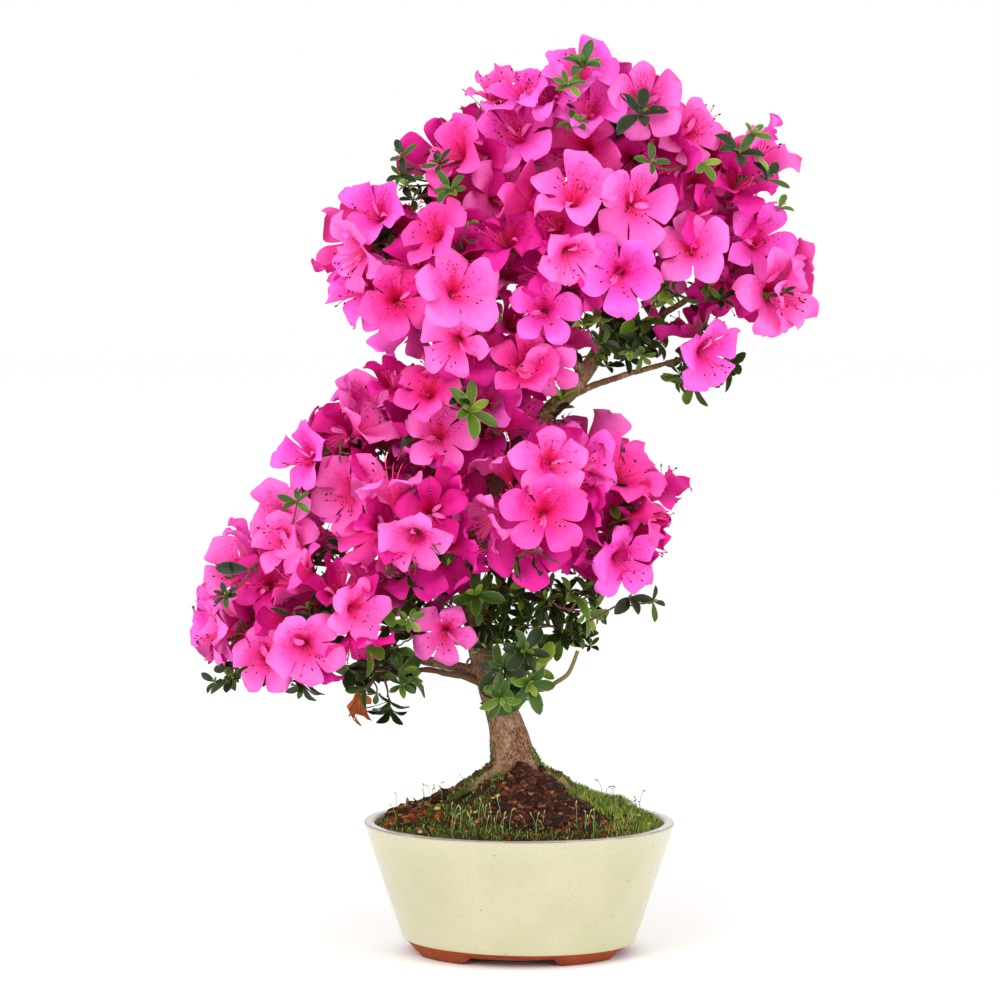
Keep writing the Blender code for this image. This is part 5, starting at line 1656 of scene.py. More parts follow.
# Pixel of each tuft, where it lies and its longest leaf in mm
TUFTS = [
    (580, 74, FRONT, 17), (566, 92, FRONT, 11), (636, 120, FRONT, 19), (574, 131, FRONT, 14),
    (440, 168, FRONT, 12), (452, 192, FRONT, 13), (404, 160, FRONT, 12), (402, 178, FRONT, 10),
    (734, 158, FRONT, 19), (762, 182, FRONT, 17), (645, 165, FRONT, 12), (576, 290, DEEP, 19),
    (716, 300, FRONT, 13), (778, 292, FRONT, 12), (230, 588, FRONT, 12), (300, 496, FRONT, 12),
    (402, 446, DEEP, 18), (318, 562, DEEP, 19), (336, 580, DEEP, 15), (356, 604, DEEP, 15),
    (384, 596, DEEP, 16), (404, 566, DEEP, 15), (424, 602, DEEP, 15), (448, 556, DEEP, 17),
    (476, 548, DEEP, 16), (396, 640, DEEP, 14), (410, 470, DEEP, 15), (500, 590, DEEP, 16),
    (540, 556, DEEP, 15), (575, 570, DEEP, 16), (606, 582, DEEP, 17), (628, 592, DEEP, 18),
    (232, 672, DEEP, 14), (250, 660, DEEP, 12), (560, 398, DEEP, 15), (410, 300, DEEP, 13),
    (395, 250, DEEP, 12), (350, 660, DEEP, 15), (330, 640, DEEP, 13), (470, 240, DEEP, 12),
    (392, 578, GAP, 16), (408, 596, GAP, 17), (390, 614, GAP, 16), (412, 630, GAP, 16),
    (346, 546, GAP, 17), (436, 572, GAP, 16), (690, 304, GAP, 13), (704, 286, GAP, 12),
    (698, 330, GAP, 13), (642, 346, GAP, 15), (612, 342, GAP, 14), (582, 328, GAP, 16),
    (530, 578, GAP, 15), (586, 592, GAP, 15), (512, 602, GAP, 16), (532, 616, GAP, 16),
    (545, 598, GAP, 15), (506, 636, GAP, 16), (526, 648, GAP, 16), (560, 606, GAP, 14),
    (574, 637, GAP, 14), (590, 643, GAP, 9), (562, 630, GAP, 15), (576, 350, GAP, 13),
    (606, 366, GAP, 12), (406, 188, GAP, 14), (414, 202, GAP, 12),
]
# Points of the two thin branches: pixel, and depth in mm
LOW_BRANCH = [(488, 687, 2), (466, 675, -4), (448, 671, -8), (428, 667, -7), (404, 668, -9),
              (384, 662, -6), (362, 658, -2)]
BENT_BRANCH = [(508, 672, -12), (530, 680, -20), (542, 683, -24), (556, 675, -26), (567, 667, -27),
               (573, 655, -27), (577, 644, -26)]
all_joints = [node for spray in sprays for node in spray.nodes]
limb_points = [point for name in BOUGHS for point, _ in limbs[name]]


def branch_path(rows, per_span):
    """A soft curve through the points of a branch."""
    rows = [(*(picture_spot(px, py, y * MM) / MM), 1.0) for px, py, y in rows]
    return np.array([np.array(p) for p, _ in smooth_line(rows, per_span)])


def aside(point, other):
    """How far two points lie apart as seen from the front."""
    return math.hypot(point.x - other.x, point.z - other.z)


def set_tuft(leaves, twigs, px, py, depth, longest):
    """A rosette, and a smaller one beside it, on a twig from the nearest wood."""
    dice = random.Random(int(px * 7 + py))
    spot = picture_spot(px, py, 0.0)
    near = [Vector(b) for b in bloom_at.tolist() if aside(Vector(b), spot) < NEAR_TUFT]
    limb = min(limb_points, key=lambda p: aside(p, spot))
    if depth == FRONT and near:
        spot.y = min(b.y for b in near) - TUFT_RISE
    elif near:
        spot.y = (min(b.y for b in near) + limb.y) / 2
    else:
        spot.y = limb.y - TUFT_SINK
    wood = min(all_joints + limb_points, key=lambda p: (p - spot).length + 0.6 * abs(p.y - limb.y))
    outwards = (px - PX_AXIS) * TUFT_LEAN + dice.gauss(0, 0.2)
    facing = Vector((outwards, -0.8, 0.75 + dice.gauss(0, 0.2))).normalized()
    axes = ways_of(facing, dice.uniform(0, ANY_ROLL))
    path = set_shoot(twigs, dice, wood, np.array(spot), axes[2], 0.8 * MM)
    add_rosette(leaves, dice, np.array(spot), axes, longest * MM, CLEAR_AHEAD[depth])
    if depth == FRONT:
        return
    side = unit(np.array([dice.gauss(0, 1), -0.3, dice.gauss(0.2, 1)]))
    end = np.array(spot) + side * longest * 0.75 * MM
    own = ways_of(unit(axes[2] + side * 0.7), dice.uniform(0, ANY_ROLL))
    set_shoot(twigs, dice, path[4], end, own[2], 0.55 * MM)
    add_rosette(leaves, dice, end, own, longest * 0.72 * MM, CLEAR_AHEAD[depth])


def add_big_leaf(leaves):
    """The large leaf that hangs in front of the trunk's top."""
    foot = np.array(picture_spot(521, 667, -27 * MM))
    tip = np.array(picture_spot(499, 708, -31 * MM))
    points, faces, picks = leaf_kinds[0]
    long = np.linalg.norm(tip - foot)
    x = (tip - foot) / long
    y = unit(np.cross((0.1, -1.0, 0.3), x))
    turned = (points * (1.0, 1.35, 1.0)) @ np.array([x, y, np.cross(x, y)])
    leaves.add(foot + turned * long, faces, picks + 2)


def add_wilted(blossom, twigs):
    """The brown crumpled flower that hangs below the left bough."""
    dice = random.Random(WILTED_SEED)
    top, foot = picture_spot(372, 668, 2 * MM), picture_spot(358, 690, -6 * MM)
    set_shoot(twigs, dice, top, np.array(foot), np.array((0.0, 0.0, -1.0)), 0.6 * MM)
    for k in range(9):
        points, faces, _ = leaf_kinds[k % len(leaf_kinds)]
        way = unit(np.array([dice.gauss(0, 0.45), dice.gauss(0, 0.45), -1.0]))
        y = unit(np.cross(way, (dice.gauss(0, 1), dice.gauss(0, 1), 0.2)))
        t = points[:, 0]
        crumple = np.stack([np.ones(len(t)), 0.75 + 0.3 * np.sin(9 * t + k),
                            1.6 + np.sin(13 * t + 2 * k)], axis=-1)
        turned = (points * crumple) @ np.array([way, y, np.cross(way, y)])
        blossom.add(np.array(foot) + turned * dice.uniform(11, 19) * MM, faces, tinted(WILTED, 0))

# %% Grow every storey
all_twigs = Bundle()
all_leaves = {"upper": Bundle(), "lower": Bundle()}
# How often the four petal tints come: on show, elsewhere outside, and deep inside, where the deep tint is
# painted shade
SHOW_TINTS = (5, 4, 2, 0.5)
OUTER_TINTS = (3, 3, 3, 3)
INNER_SHADE_TINTS = (0, 0.5, 1, 9)
STRAY_TURN, SHOWN_TURN = 0.42, 0.20
BLOOM_WIDTH, WHORL_WIDTH = 0.85, 0.7
WHORL_LEAF, SHOOT_LEAVES = 19.0, (11.0, 17.0)
# Tufts from this row of pixels down go with the leaves of the lower storeys
LOWER_FROM = 400
GROWTH_SEED = 300
# The masses right of the trunk's top are so open that their twigs show one by one
OPEN_MASSES = ("under_right", "front_tuft")
spray_of = {spray.mass.name: spray for spray in sprays}


def grow_flowers(blossom, leaves, dice, spray):
    """The flowers of one mass, each with its stalk and the leaves at its foot."""
    planned, added = len(spray.blooms), len(spray.gap_blooms)
    blooms = list(zip(spray.blooms, spray.bloom_twigs)) + spray.gap_blooms + spray.deep_blooms
    for k, (spot, joint) in enumerate(blooms):
        on_show = k < len(spray.mass.show) or planned <= k < planned + added
        shares = SHOW_TINTS if on_show else (OUTER_TINTS if k < planned else INNER_SHADE_TINTS)
        spot = strayed(dice, spot, SHOWN_TURN if on_show else STRAY_TURN)
        spot = clear_of_sky(spot, BLOOM_WIDTH)
        kind = dice.choice(open_kinds if on_show else flower_kinds)
        spot = set_flower(blossom, dice, spot, kind, shares)
        set_stalk(all_twigs, dice, joint, spot)
        collar_leaves(leaves, dice, spot)


def grow_leaves(leaves, dice, spray):
    """The whorls and shoots of one mass."""
    sides = 0 if spray.mass.name in OPEN_MASSES else 1
    for spot, joint in zip(spray.whorls, spray.whorl_twigs):
        spot = clear_of_sky(spot, WHORL_WIDTH)
        leafy_shoot(leaves, all_twigs, dice, joint, spot, WHORL_LEAF * MM, sides, 0.35)
    for spot, joint in spray.shoots:
        longest = dice.uniform(*SHOOT_LEAVES) * MM
        leafy_shoot(leaves, all_twigs, dice, joint, spot, longest, 1, 0.9)


def grow_main_twig(spray):
    """The thick twig that carries on from the end of the bough."""
    start, elbow = np.array(spray.start), np.array(spray.elbow)
    tip = np.array(spray.main) if spray.main else elbow + (elbow - start) * 0.5
    path = np.concatenate([[start - (elbow - start) * 0.3], bend(start, elbow, tip, 8)])
    add_tube(all_twigs, path, np.linspace(1.6, 1.1, len(path)) * MM, 8, TWIG_WOOD)


for storey, names in STOREYS.items():
    blossom = Bundle()
    leaves = all_leaves["upper" if storey in ("top", "upper") else "lower"]
    for name in names:
        dice = random.Random(spray_of[name].mass.seed + GROWTH_SEED)
        grow_flowers(blossom, leaves, dice, spray_of[name])
        grow_leaves(leaves, dice, spray_of[name])
        grow_main_twig(spray_of[name])
    if storey == "lower":
        add_wilted(blossom, all_twigs)
    blossom.make("blossom_" + storey, blossom_finishes, "blossom", ["foliage_" + n for n in names])
for px, py, depth, longest in TUFTS:
    set_tuft(all_leaves["upper" if py < LOWER_FROM else "lower"], all_twigs, px, py, depth, longest)
add_big_leaf(all_leaves["lower"])
bent = branch_path(BENT_BRANCH, 3)
add_tube(all_twigs, bent, np.linspace(1.5, 1.1, len(bent)) * MM, 8, TWIG_GREEN)
low = branch_path(LOW_BRANCH, 4)
knots = 0.16 * np.sin(np.arange(len(low)) * 2.3)
add_tube(all_twigs, low, (np.linspace(2.1, 1.1, len(low)) + knots) * MM, 8, TWIG_WOOD)
for part, bundle in all_leaves.items():
    bundle.points = [fit_in_box(np.concatenate(bundle.points))]
    bundle.make("leaves_" + part, leaf_finishes, "leaves")
twig_finishes = [plain("twig_bark", (118, 86, 62), 0.8, 0.2),
                 plain("young_shoot", (126, 104, 62), 0.6, 0.3)]
all_twigs.make("twigs", twig_finishes, "bark")

# %% [markdown]
# ## Trunk, roots and boughs
# The trunk is smooth-barked, pinkish beige and speckled, with long shallow flutes where each
# bough's wood runs down into it and roots that grip the mound. Rings round its line give the
# taper, roots and bough feet are added as overlapping tubes, and a voxel remesh melts them into
# one skin, as wood grows together. Noise along the normals then raises the bark.

# %% One skin of trunk, roots and bough feet
BARK_VOXEL = 0.75 * MM
BARK_STEP = 1.0 * MM
TRUNK_SIDES, ROOT_SIDES, FOOT_SIDES = 40, 20, 14
TRUNK_SHARE = 0.985
BOUGH_FOOT = 16.0 * MM
FOOT_SWELL, SWELL_FADE = 0.9, 5.0 * MM
FLUTE_TWIST = 0.012
# Lumps, plates and fine lines: their width and height in mm, and their share of the relief
BARK_RELIEF = ((7.0, 11.0, 0.9), (1.3, 7.0, 0.55), (0.9, 1.6, 0.25))


def resample(line, step):
    """A limb's line as evenly spaced points, their radii and how far along they lie."""
    points = np.array([np.array(p) for p, _ in line])
    radii = np.array([r for _, r in line])
    spans = np.linalg.norm(np.diff(points, axis=0), axis=1)
    run = np.concatenate([[0.0], np.cumsum(spans)])
    at = np.linspace(0.0, run[-1], max(3, int(run[-1] / step) + 1))
    even = np.stack([np.interp(at, run, points[:, k]) for k in range(3)], axis=1)
    return even, np.interp(at, run, radii), at


def fluting(depth, phase):
    """Long shallow flutes that wind slowly round a limb."""
    def relief(ring, angles):
        twist = ring * FLUTE_TWIST
        three = np.sin(3 * angles + phase + twist)
        five = np.sin(5 * angles - phase + twist * 1.7)
        return depth * (three * 0.6 + five * 0.4)
    return relief


def bark_skin(bundle, name, voxel):
    """Melt the overlapping tubes into one closed skin."""
    tubes = bundle.mesh(name)
    piece = shown(bpy.data.objects.new(name, tubes))
    melt = piece.modifiers.new("melt", "REMESH")
    melt.mode = "VOXEL"
    melt.voxel_size = voxel
    melt.use_smooth_shade = True
    soften = piece.modifiers.new("soften", "SMOOTH")
    soften.factor = 0.5
    soften.iterations = 2
    depsgraph = bpy.context.evaluated_depsgraph_get()
    made = bpy.data.meshes.new_from_object(piece.evaluated_get(depsgraph))
    piece.modifiers.clear()
    piece.data = made
    bpy.data.meshes.remove(tubes)
    made.name = name
    return piece


def raise_bark(mesh, depth):
    """Raise the bark's relief along the normals."""
    spots = np.zeros(len(mesh.vertices) * 3)
    normals = np.zeros(len(mesh.vertices) * 3)
    mesh.vertices.foreach_get("co", spots)
    mesh.vertices.foreach_get("normal", normals)
    spots, normals = spots.reshape(-1, 3), normals.reshape(-1, 3)
    lift = np.zeros(len(spots))
    for wide, tall, share in BARK_RELIEF:
        rough = [noise.noise((x / wide, y / wide, z / tall)) for x, y, z in spots / MM]
        lift += np.array(rough) * share
    spots += normals * lift[:, None] * depth
    mesh.vertices.foreach_set("co", spots.ravel())
    mesh.update()


bark = Bundle()
path, radii, _ = resample(smooth_line(TRUNK_LINE, 8), BARK_STEP)
add_tube(bark, path, radii * TRUNK_SHARE, TRUNK_SIDES, 0, fluting(0.28 * MM, 0.6))
for angle, reach, thick in ROOTS:
    swing = math.radians(angle)
    out = np.array([math.cos(swing), math.sin(swing), 0.0])
    crest = np.array(ROOT_CREST) + out * ROOT_CREST_OUT
    knee = np.array(ROOT_KNEE) + out * ROOT_KNEE_OUT
    toe = np.array(ROOT_TOE) + out * reach
    toe[2] -= max(0.0, reach - ROOT_DIP_FROM) * ROOT_DIP_SLOPE
    far = raised(toe + (toe - knee) * 0.45, -2.5)
    rows = [(*crest, thick * 0.9), (*knee, thick), (*toe, thick * 0.55), (*far, thick * 0.28)]
    path, radii, _ = resample(smooth_line(rows, 8), BARK_STEP)
    add_tube(bark, path, radii, ROOT_SIDES, 0, fluting(0.35 * MM, angle))
for name, (parent, _, _, _, _) in BOUGHS.items():
    path, radii, run = resample(limbs[name], BARK_STEP)
    foot = run < BOUGH_FOOT
    swell = 1.0 + FOOT_SWELL * np.exp(-run / SWELL_FADE)
    if parent == "trunk":
        add_tube(bark, path[foot], (radii * swell)[foot], FOOT_SIDES, 0)
trunk_skin = bark_skin(bark, "trunk_bark", BARK_VOXEL)
raise_bark(trunk_skin.data, 0.42 * MM)
print("the bark has", len(trunk_skin.data.vertices), "points")

# %% [markdown]
# ## Bark finish
# Close to, the bark is a beige ground crowded with short upright flecks of red-brown that gather
# in patches, with dark hairline cracks, olive algae high up and on the roots, and a green shade
# where the moss starts. Noise that is drawn out along the trunk gives flecks and cracks their
# upright lie.

# %% Bark
bark_finish = Finish("azalea_bark", {"Roughness": 0.85, "Specular IOR Level": 0.2})
height = bark_finish.along("Z")
flecks = bark_finish.cloud(1.0 * MM, 4.0, 0.65, (1.0, 1.0, 0.62)).step(0.45, 0.54)
patches = bark_finish.cloud(13 * MM, 3.0, 0.5, (1.0, 1.0, 0.6)).step(0.40, 0.62)
cracks = bark_finish.cloud(0.9 * MM, 3.0, 0.6, (1.0, 1.0, 0.16)).step(0.60, 0.72)
algae = bark_finish.cloud(8 * MM, 3.0, 0.6, (1.0, 1.0, 0.35)).step(0.50, 0.66)
high = height.step(0.130, 0.175)
low = 1 - height.step(0.098, 0.112)
left = 1 - (bark_finish.along("X") - float(SHIFT.x)).step(-0.031, -0.020)
bark_finish.ground(bark_finish.cloud(6 * MM, 2.0).step(0.3, 0.7), (184, 150, 122), (150, 114, 84))
bark_finish.coat(flecks * (0.50 + 0.45 * patches), (84, 42, 26))
bark_finish.coat(patches * 0.35, (112, 58, 40))
bark_finish.coat(cracks * 0.75, (50, 34, 24))
bark_finish.coat(algae * (0.20 + 0.50 * high), (104, 100, 56))
bark_finish.coat(low * (0.35 + 0.6 * algae), (112, 104, 64))
mossed = bark_finish.cloud(2.2 * MM, 3.0).step(0.35, 0.55)
mossed_tone = bark_finish.mix(mossed, linear(58, 40, 22), linear(66, 74, 28))
bark_finish.tone = bark_finish.mix(low * left, bark_finish.tone, mossed_tone)
ridges = bark_finish.cloud(0.8 * MM, 4.0, 0.6, (1.0, 1.0, 0.3)) - cracks * 0.6
bark_finish.close(bark_finish.cloud(3 * MM) * 0.25 + 0.68, ridges, 0.6, 0.35 * MM)
trunk_skin.data.materials.clear()
trunk_skin.data.materials.append(bark_finish.material)
settle(trunk_skin, ["trunk"])

# %% Boughs as tubes with their own relief
boughs = Bundle()
for k, name in enumerate(BOUGHS):
    path, radii, _ = resample(limbs[name], 1.3 * MM)
    path = np.concatenate([path, [np.array(spray_of[name].start)]])
    radii = np.concatenate([radii, [radii[-1]]])
    dice = random.Random(400 + k)
    drift = np.cumsum(wobble(dice, len(path), 0.10), axis=0)
    hold = np.sin(np.linspace(0, math.pi, len(path)))[:, None]
    knots = np.array([dice.gauss(0, 0.07) * MM for _ in path])
    add_tube(boughs, path + drift * hold, radii + knots, 16, 0, fluting(0.14 * MM, k))
boughs.make("bough_bark", [bark_finish], "bark", ["bough_" + name for name in BOUGHS])

# %% [markdown]
# ## The mound
# The tree stands on a mound that rises in a hollow-sided cone from the lip of the pot. Its skin
# is a net that follows the same profile as the solid, roughened by noise. On it lie, from left to
# right as seen from the front: moss with litter and bark chips, a fall of dark red-brown grains
# in front of the trunk, and a bed of bright upright moss. A strip of moss runs along the front.

# %% Height of the mound and what grows where
MOUND_PROFILE = [(0.0, 101.0), (17.6, 101.0), (26.0, 96.5), (33.0, 91.0), (42.0, 87.0), (52.0, 82.8),
                 (63.0, 78.6), (74.0, 73.6), (79.0, 69.0)]
MOUND_RIM = 79.0
MOSS_DEPTH = 0.9 * MM
CUSHION_HEIGHT, CUSHION_SPACING, CUSHION_FADE = 3.0, 25.0, 8.0
CUSHIONS_FROM, CUSHIONS_TO = 40.0, 80.0


def cushion_rise(x, y):
    """How far, in mm, a cushion of moss lifts the mound: not at all near trunk and rim."""
    out = np.hypot(x, y / POT_OVAL)
    inner = np.clip((out - CUSHIONS_FROM) / CUSHION_FADE, 0.0, 1.0)
    outer = np.clip((CUSHIONS_TO - out) / CUSHION_FADE, 0.0, 1.0)
    wave = FULL_TURN / CUSHION_SPACING
    hump = (0.5 + 0.5 * np.sin(wave * x)) * (0.5 + 0.5 * np.cos(wave * y))
    return CUSHION_HEIGHT * inner * outer * hump


def mound_spot(rho, angle):
    """A point of the mound, in metres, from its oval radius in mm and its angle."""
    z = np.interp(rho, *zip(*MOUND_PROFILE))
    flat = np.stack([rho * np.cos(angle), rho * np.sin(angle) * POT_OVAL, z], axis=-1)
    spot = turn_pot(flat)
    spot[..., 2] += cushion_rise(spot[..., 0] / MM, spot[..., 1] / MM) * MM - MOSS_DEPTH
    return spot


def mound_noise(point):
    """Hollows and humps, in mm, at a point of the mound."""
    x, y, _ = np.asarray(point) / MM
    return noise.noise((x / 11.0, y / 11.0, 3.0)) * 1.7 + noise.noise((x / 3.6, y / 3.6, 8.0)) * 0.8


def mound_top(rho, angle):
    """A point on the roughened skin."""
    spot = mound_spot(rho, angle)
    edge = float(smooth_step(MOUND_RIM - rho, 0.0, 8.0))
    spot[2] += mound_noise(spot) * MM * edge
    return spot


def grain_share(rho, angle):
    """1 in the fall of bare grains in front of the trunk, 0 elsewhere."""
    degrees = math.degrees(angle) % 360.0
    side = smooth_step(degrees, 248.0, 262.0) * (1 - smooth_step(degrees, 318.0, 334.0))
    return float(side * (1 - smooth_step(rho, 60.0, 70.0)))


def bright_share(rho, angle):
    """1 in the bed of bright moss on the right, 0 elsewhere."""
    degrees = (math.degrees(angle) + 180.0) % 360.0 - 180.0
    side = smooth_step(degrees, -52.0, -36.0) * (1 - smooth_step(degrees, 60.0, 90.0))
    return float(side * smooth_step(rho, 26.0, 38.0))


MOUND_SPOKES = 230
SKIN_DEPTH = 6.0 * MM
rings = np.concatenate([np.linspace(0.0, 34.0, 20), np.linspace(35.0, MOUND_RIM, 42)])
spokes = [FULL_TURN * k / MOUND_SPOKES for k in range(MOUND_SPOKES)]
net = [[mound_top(rho, angle) for angle in spokes] for rho in rings]
rim = np.array(net[-1])
lower = raised(rim, -SKIN_DEPTH)
lower[:, :2] *= 0.97
floor_ring = np.array([raised(rim.mean(axis=0), -SKIN_DEPTH)] * MOUND_SPOKES)
mound = Bundle()
closed_spin(mound, np.array([*net, lower, floor_ring])[::-1])
print("the mound is", round(float(np.max(net)) / MM, 1), "mm tall")

# %% Soil finish
soil = Finish("mound_soil", {"Specular IOR Level": 0.2})
lumps = soil.cells(2.6 * MM)
side = soil.along("X") - float(SHIFT.x)
front = soil.along("Y") - float(SHIFT.y)
green_patch = soil.cloud(9 * MM, 4.0, 0.6).step(0.42, 0.56)
bare = side.step(-0.012, -0.002) * (1 - side.step(0.036, 0.048)) * (1 - front.step(-0.014, -0.004))
soil.ground(soil.cloud(7 * MM, 4.0).step(0.35, 0.65), (46, 26, 14), (74, 44, 24))
# Painted shade: the hollows between the lumps, which the bump also sinks, are darkened nearly to black.
soil.coat(lumps.step(0.1, 0.6) * 0.5, (24, 14, 10))
soil.coat(green_patch * (1 - bare), (62, 66, 24))
soil.close(soil.cloud(3 * MM) * 0.2 + 0.78, soil.cloud(1.3 * MM, 5.0) - lumps * 0.6, 0.8, 0.9 * MM)
mound.make("mound_skin", [soil], "soil", ["soil_mound"])

# %% [markdown]
# ## Grains, chips and litter
# The bare fall is made of fired-clay grains, each a rough little ball. Sandy pebbles, curved bark
# chips and dark leaf litter lie among them. All are joined, and each kind of colour is plain and
# dealt out grain by grain.

# %% A grain and a chip
GROUND_TONES = [
    ("grain_dark", (36, 16, 9)), ("grain_red", (64, 27, 14)), ("grain_brown", (98, 50, 28)),
    ("grain_pale", (146, 92, 54)), ("pebble_sand", (190, 164, 108)), ("chip_orange", (188, 62, 18)),
    ("chip_brown", (112, 46, 22)), ("litter_dark", (62, 36, 18)), ("litter_tan", (152, 110, 66)),
]
# Finish numbers, in the order of the tones
GRAINS = range(4)
PEBBLE, CHIP_ORANGE, CHIP_BROWN, LITTER_DARK, LITTER_TAN = range(4, 9)
LITTER = (LITTER_DARK, LITTER_TAN, CHIP_BROWN)
GOLDEN = (1 + math.sqrt(5)) / 2
CORNER_REACH = math.sqrt(1 + GOLDEN ** 2)
CORNER_SPAN = 1.1
FINE_FROM = 1.5 * MM


def coarse_ball():
    """The twelve corners and twenty faces of a ball."""
    corners = []
    for s in (-1, 1):
        for t in (-GOLDEN, GOLDEN):
            corners += [(0, s, t), (s, t, 0), (t, 0, s)]
    points = np.array(corners) / CORNER_REACH
    faces = []
    for i, j, k in combinations(range(len(points)), 3):
        spans = [np.linalg.norm(points[p] - points[q]) for p, q in ((i, j), (j, k), (i, k))]
        if max(spans) < CORNER_SPAN:
            turn = np.dot(np.cross(points[j] - points[i], points[k] - points[i]), points[i])
            faces.append([i, j, k] if turn > 0 else [i, k, j])
    return points, faces


def finer(points, faces):
    """Split every face in four and push the new corners out to the ball."""
    points = list(points)
    middles, out = {}, []

    def middle(p, q):
        key = (min(p, q), max(p, q))
        if key not in middles:
            middles[key] = len(points)
            points.append(unit(points[p] + points[q]))
        return middles[key]

    for a, b, c in faces:
        ab, bc, ca = middle(a, b), middle(b, c), middle(c, a)
        out += [[a, ab, ca], [b, bc, ab], [c, ca, bc], [ab, bc, ca]]
    return np.array(points), out


plain_ball = coarse_ball()
fine_ball = finer(*plain_ball)
print("a fine grain has", len(fine_ball[1]), "faces, a plain one", len(plain_ball[1]))


def add_grain(bundle, dice, spot, size, pick, flat=0.8, fine=True):
    """A rough little stone."""
    points, faces = fine_ball if fine else plain_ball
    rough = np.array([1.0 + dice.gauss(0, 0.09) for _ in points])[:, None]
    spans = (0.8, 1.2), (0.8, 1.2), (0.8, 1.1)
    stretch = np.array([dice.uniform(*span) for span in spans]) * (1.0, 1.0, flat)
    placed = rolled(points * rough * stretch * size, dice.uniform(0, ANY_ROLL))
    bundle.add(placed + spot, faces, pick)


def add_chip(bundle, dice, spot, long, wide, pick):
    """A curved flake of bark that lies askew."""
    swing = dice.uniform(0, FULL_TURN)
    tip, lean = dice.gauss(0, 0.30), dice.gauss(0, 0.30)
    rows, columns = 5, 3
    t = np.linspace(-1, 1, rows)[:, None]
    v = np.linspace(-1, 1, columns)[None, :]
    edge = np.array([[1 + dice.uniform(-0.25, 0.25) for _ in range(columns)] for _ in range(rows)])
    x = t * long / 2 * (1 - 0.12 * v ** 2)
    y = v * wide / 2 * edge * (1 - 0.45 * np.abs(t) ** 3)
    z = -0.12 * long * t ** 2 + x * tip + y * lean - 0.18 * wide * v ** 2
    top = np.stack([x, y, z], axis=-1).reshape(-1, 3)
    under = raised(top, -(0.22 * wide + 0.25 * MM))
    net = grid_faces(rows, columns)
    rim = [0, 1, 2, 5, 8, 11, 14, 13, 12, 9, 6, 3]
    below = len(top)
    skirt = [[p, q, q + below, p + below] for p, q in zip(rim, rim[1:] + rim[:1])]
    points = rolled(np.concatenate([top, under]), swing) + spot
    bundle.add(points, np.concatenate([net, net[:, ::-1] + below, skirt]), pick)

# %% Stones, chips and flakes on the mound
trunk_spots = [v.co.copy() for v in trunk_skin.data.vertices]
trunk_tree = BVHTree.FromPolygons(trunk_spots, [tuple(p.vertices) for p in trunk_skin.data.polygons])
DOWN = Vector((0.0, 0.0, -1.0))
SHALLOW, ROOT_RISE = 0.35, 9.0 * MM
STREWN_GRAINS, FALLEN_GRAINS, PEBBLES, FLAKES, LEFT_FLAKES = 2600, 2000, 34, 460, 150
# The orange chips lie in two drifts against the rim, left and right, and singly between them:
# middle and spread of their angle in degrees, and how many
CHIP_DRIFTS = ((198.0, 14.0, 16), (318.0, 9.0, 9), (250.0, 40.0, 9), (60.0, 60.0, 12))


def heap_top(rho, angle):
    """The mound's surface, or the root that lies over it."""
    spot = mound_top(rho, angle)
    above = Vector(spot) + SHIFT + Vector((0, 0, 40 * MM))
    hit, normal, _, _ = trunk_tree.ray_cast(above, DOWN)
    if hit is not None and normal.z > SHALLOW and 0 < hit.z - spot[2] < ROOT_RISE:
        spot[2] = hit.z
    return spot


def scatter(dice, low=14.0, high=MOUND_RIM - 1.0):
    """A random oval radius and angle, even over the mound."""
    return math.sqrt(dice.uniform(low * low, high * high)), dice.uniform(0, FULL_TURN)


def drop_grain(dice, spot, size, weights, rise):
    """A grain of a weighted tone that lies on the mound, raised by a share of its size."""
    pick = one_of(dice, GRAINS, weights)
    add_grain(ground, dice, raised(spot, size * rise), size, pick, fine=size > FINE_FROM)


def drop_litter(dice, rho, angle, weights, rises, longs, wides):
    """A flake of litter; its rise, length and width are spans in mm."""
    pick = one_of(dice, LITTER, weights)
    spot = raised(heap_top(rho, angle), dice.uniform(*rises) * MM)
    add_chip(ground, dice, spot, dice.uniform(*longs) * MM, dice.uniform(*wides) * MM, pick)


ground = Bundle()
dice = random.Random(71)
for _ in range(STREWN_GRAINS):
    rho, angle = scatter(dice)
    share = grain_share(rho, angle)
    if dice.random() > 0.10 + 0.90 * share:
        continue
    size = dice.uniform(0.9, 2.3) * MM * (0.7 + 0.3 * share)
    drop_grain(dice, mound_top(rho, angle), size, (9, 7, 3, 0.6), 0.35)
for _ in range(FALLEN_GRAINS):
    rho, angle = dice.uniform(16.0, 62.0), math.radians(dice.uniform(256.0, 326.0))
    size = dice.uniform(0.9, 2.0) * MM * (1.15 - 0.35 * smooth_step(rho, 24.0, 60.0))
    lit = 1.0 - float(smooth_step(rho, 22.0, 48.0))
    drop_grain(dice, heap_top(rho, angle), size, (9, 6, 1.0 + 5 * lit, 0.3 + 1.0 * lit), 0.45)
for _ in range(PEBBLES):
    rho, angle = scatter(dice, 30.0)
    size = dice.uniform(1.1, 1.9) * MM
    add_grain(ground, dice, raised(mound_top(rho, angle), size * 0.8), size, PEBBLE, 0.65)
for _ in range(FLAKES):
    rho, angle = scatter(dice, 20.0)
    if bright_share(rho, angle) > 0.4 and dice.random() < 0.8:
        continue
    drop_litter(dice, rho, angle, (5, 3, 3), (0.6, 2.2), (2.5, 6.5), (1.2, 2.8))
for _ in range(LEFT_FLAKES):
    rho, angle = dice.uniform(18.0, 74.0), math.radians(dice.gauss(192.0, 14.0))
    drop_litter(dice, rho, angle, (6, 3, 2), (1.2, 3.4), (3.0, 7.0), (1.0, 2.4))
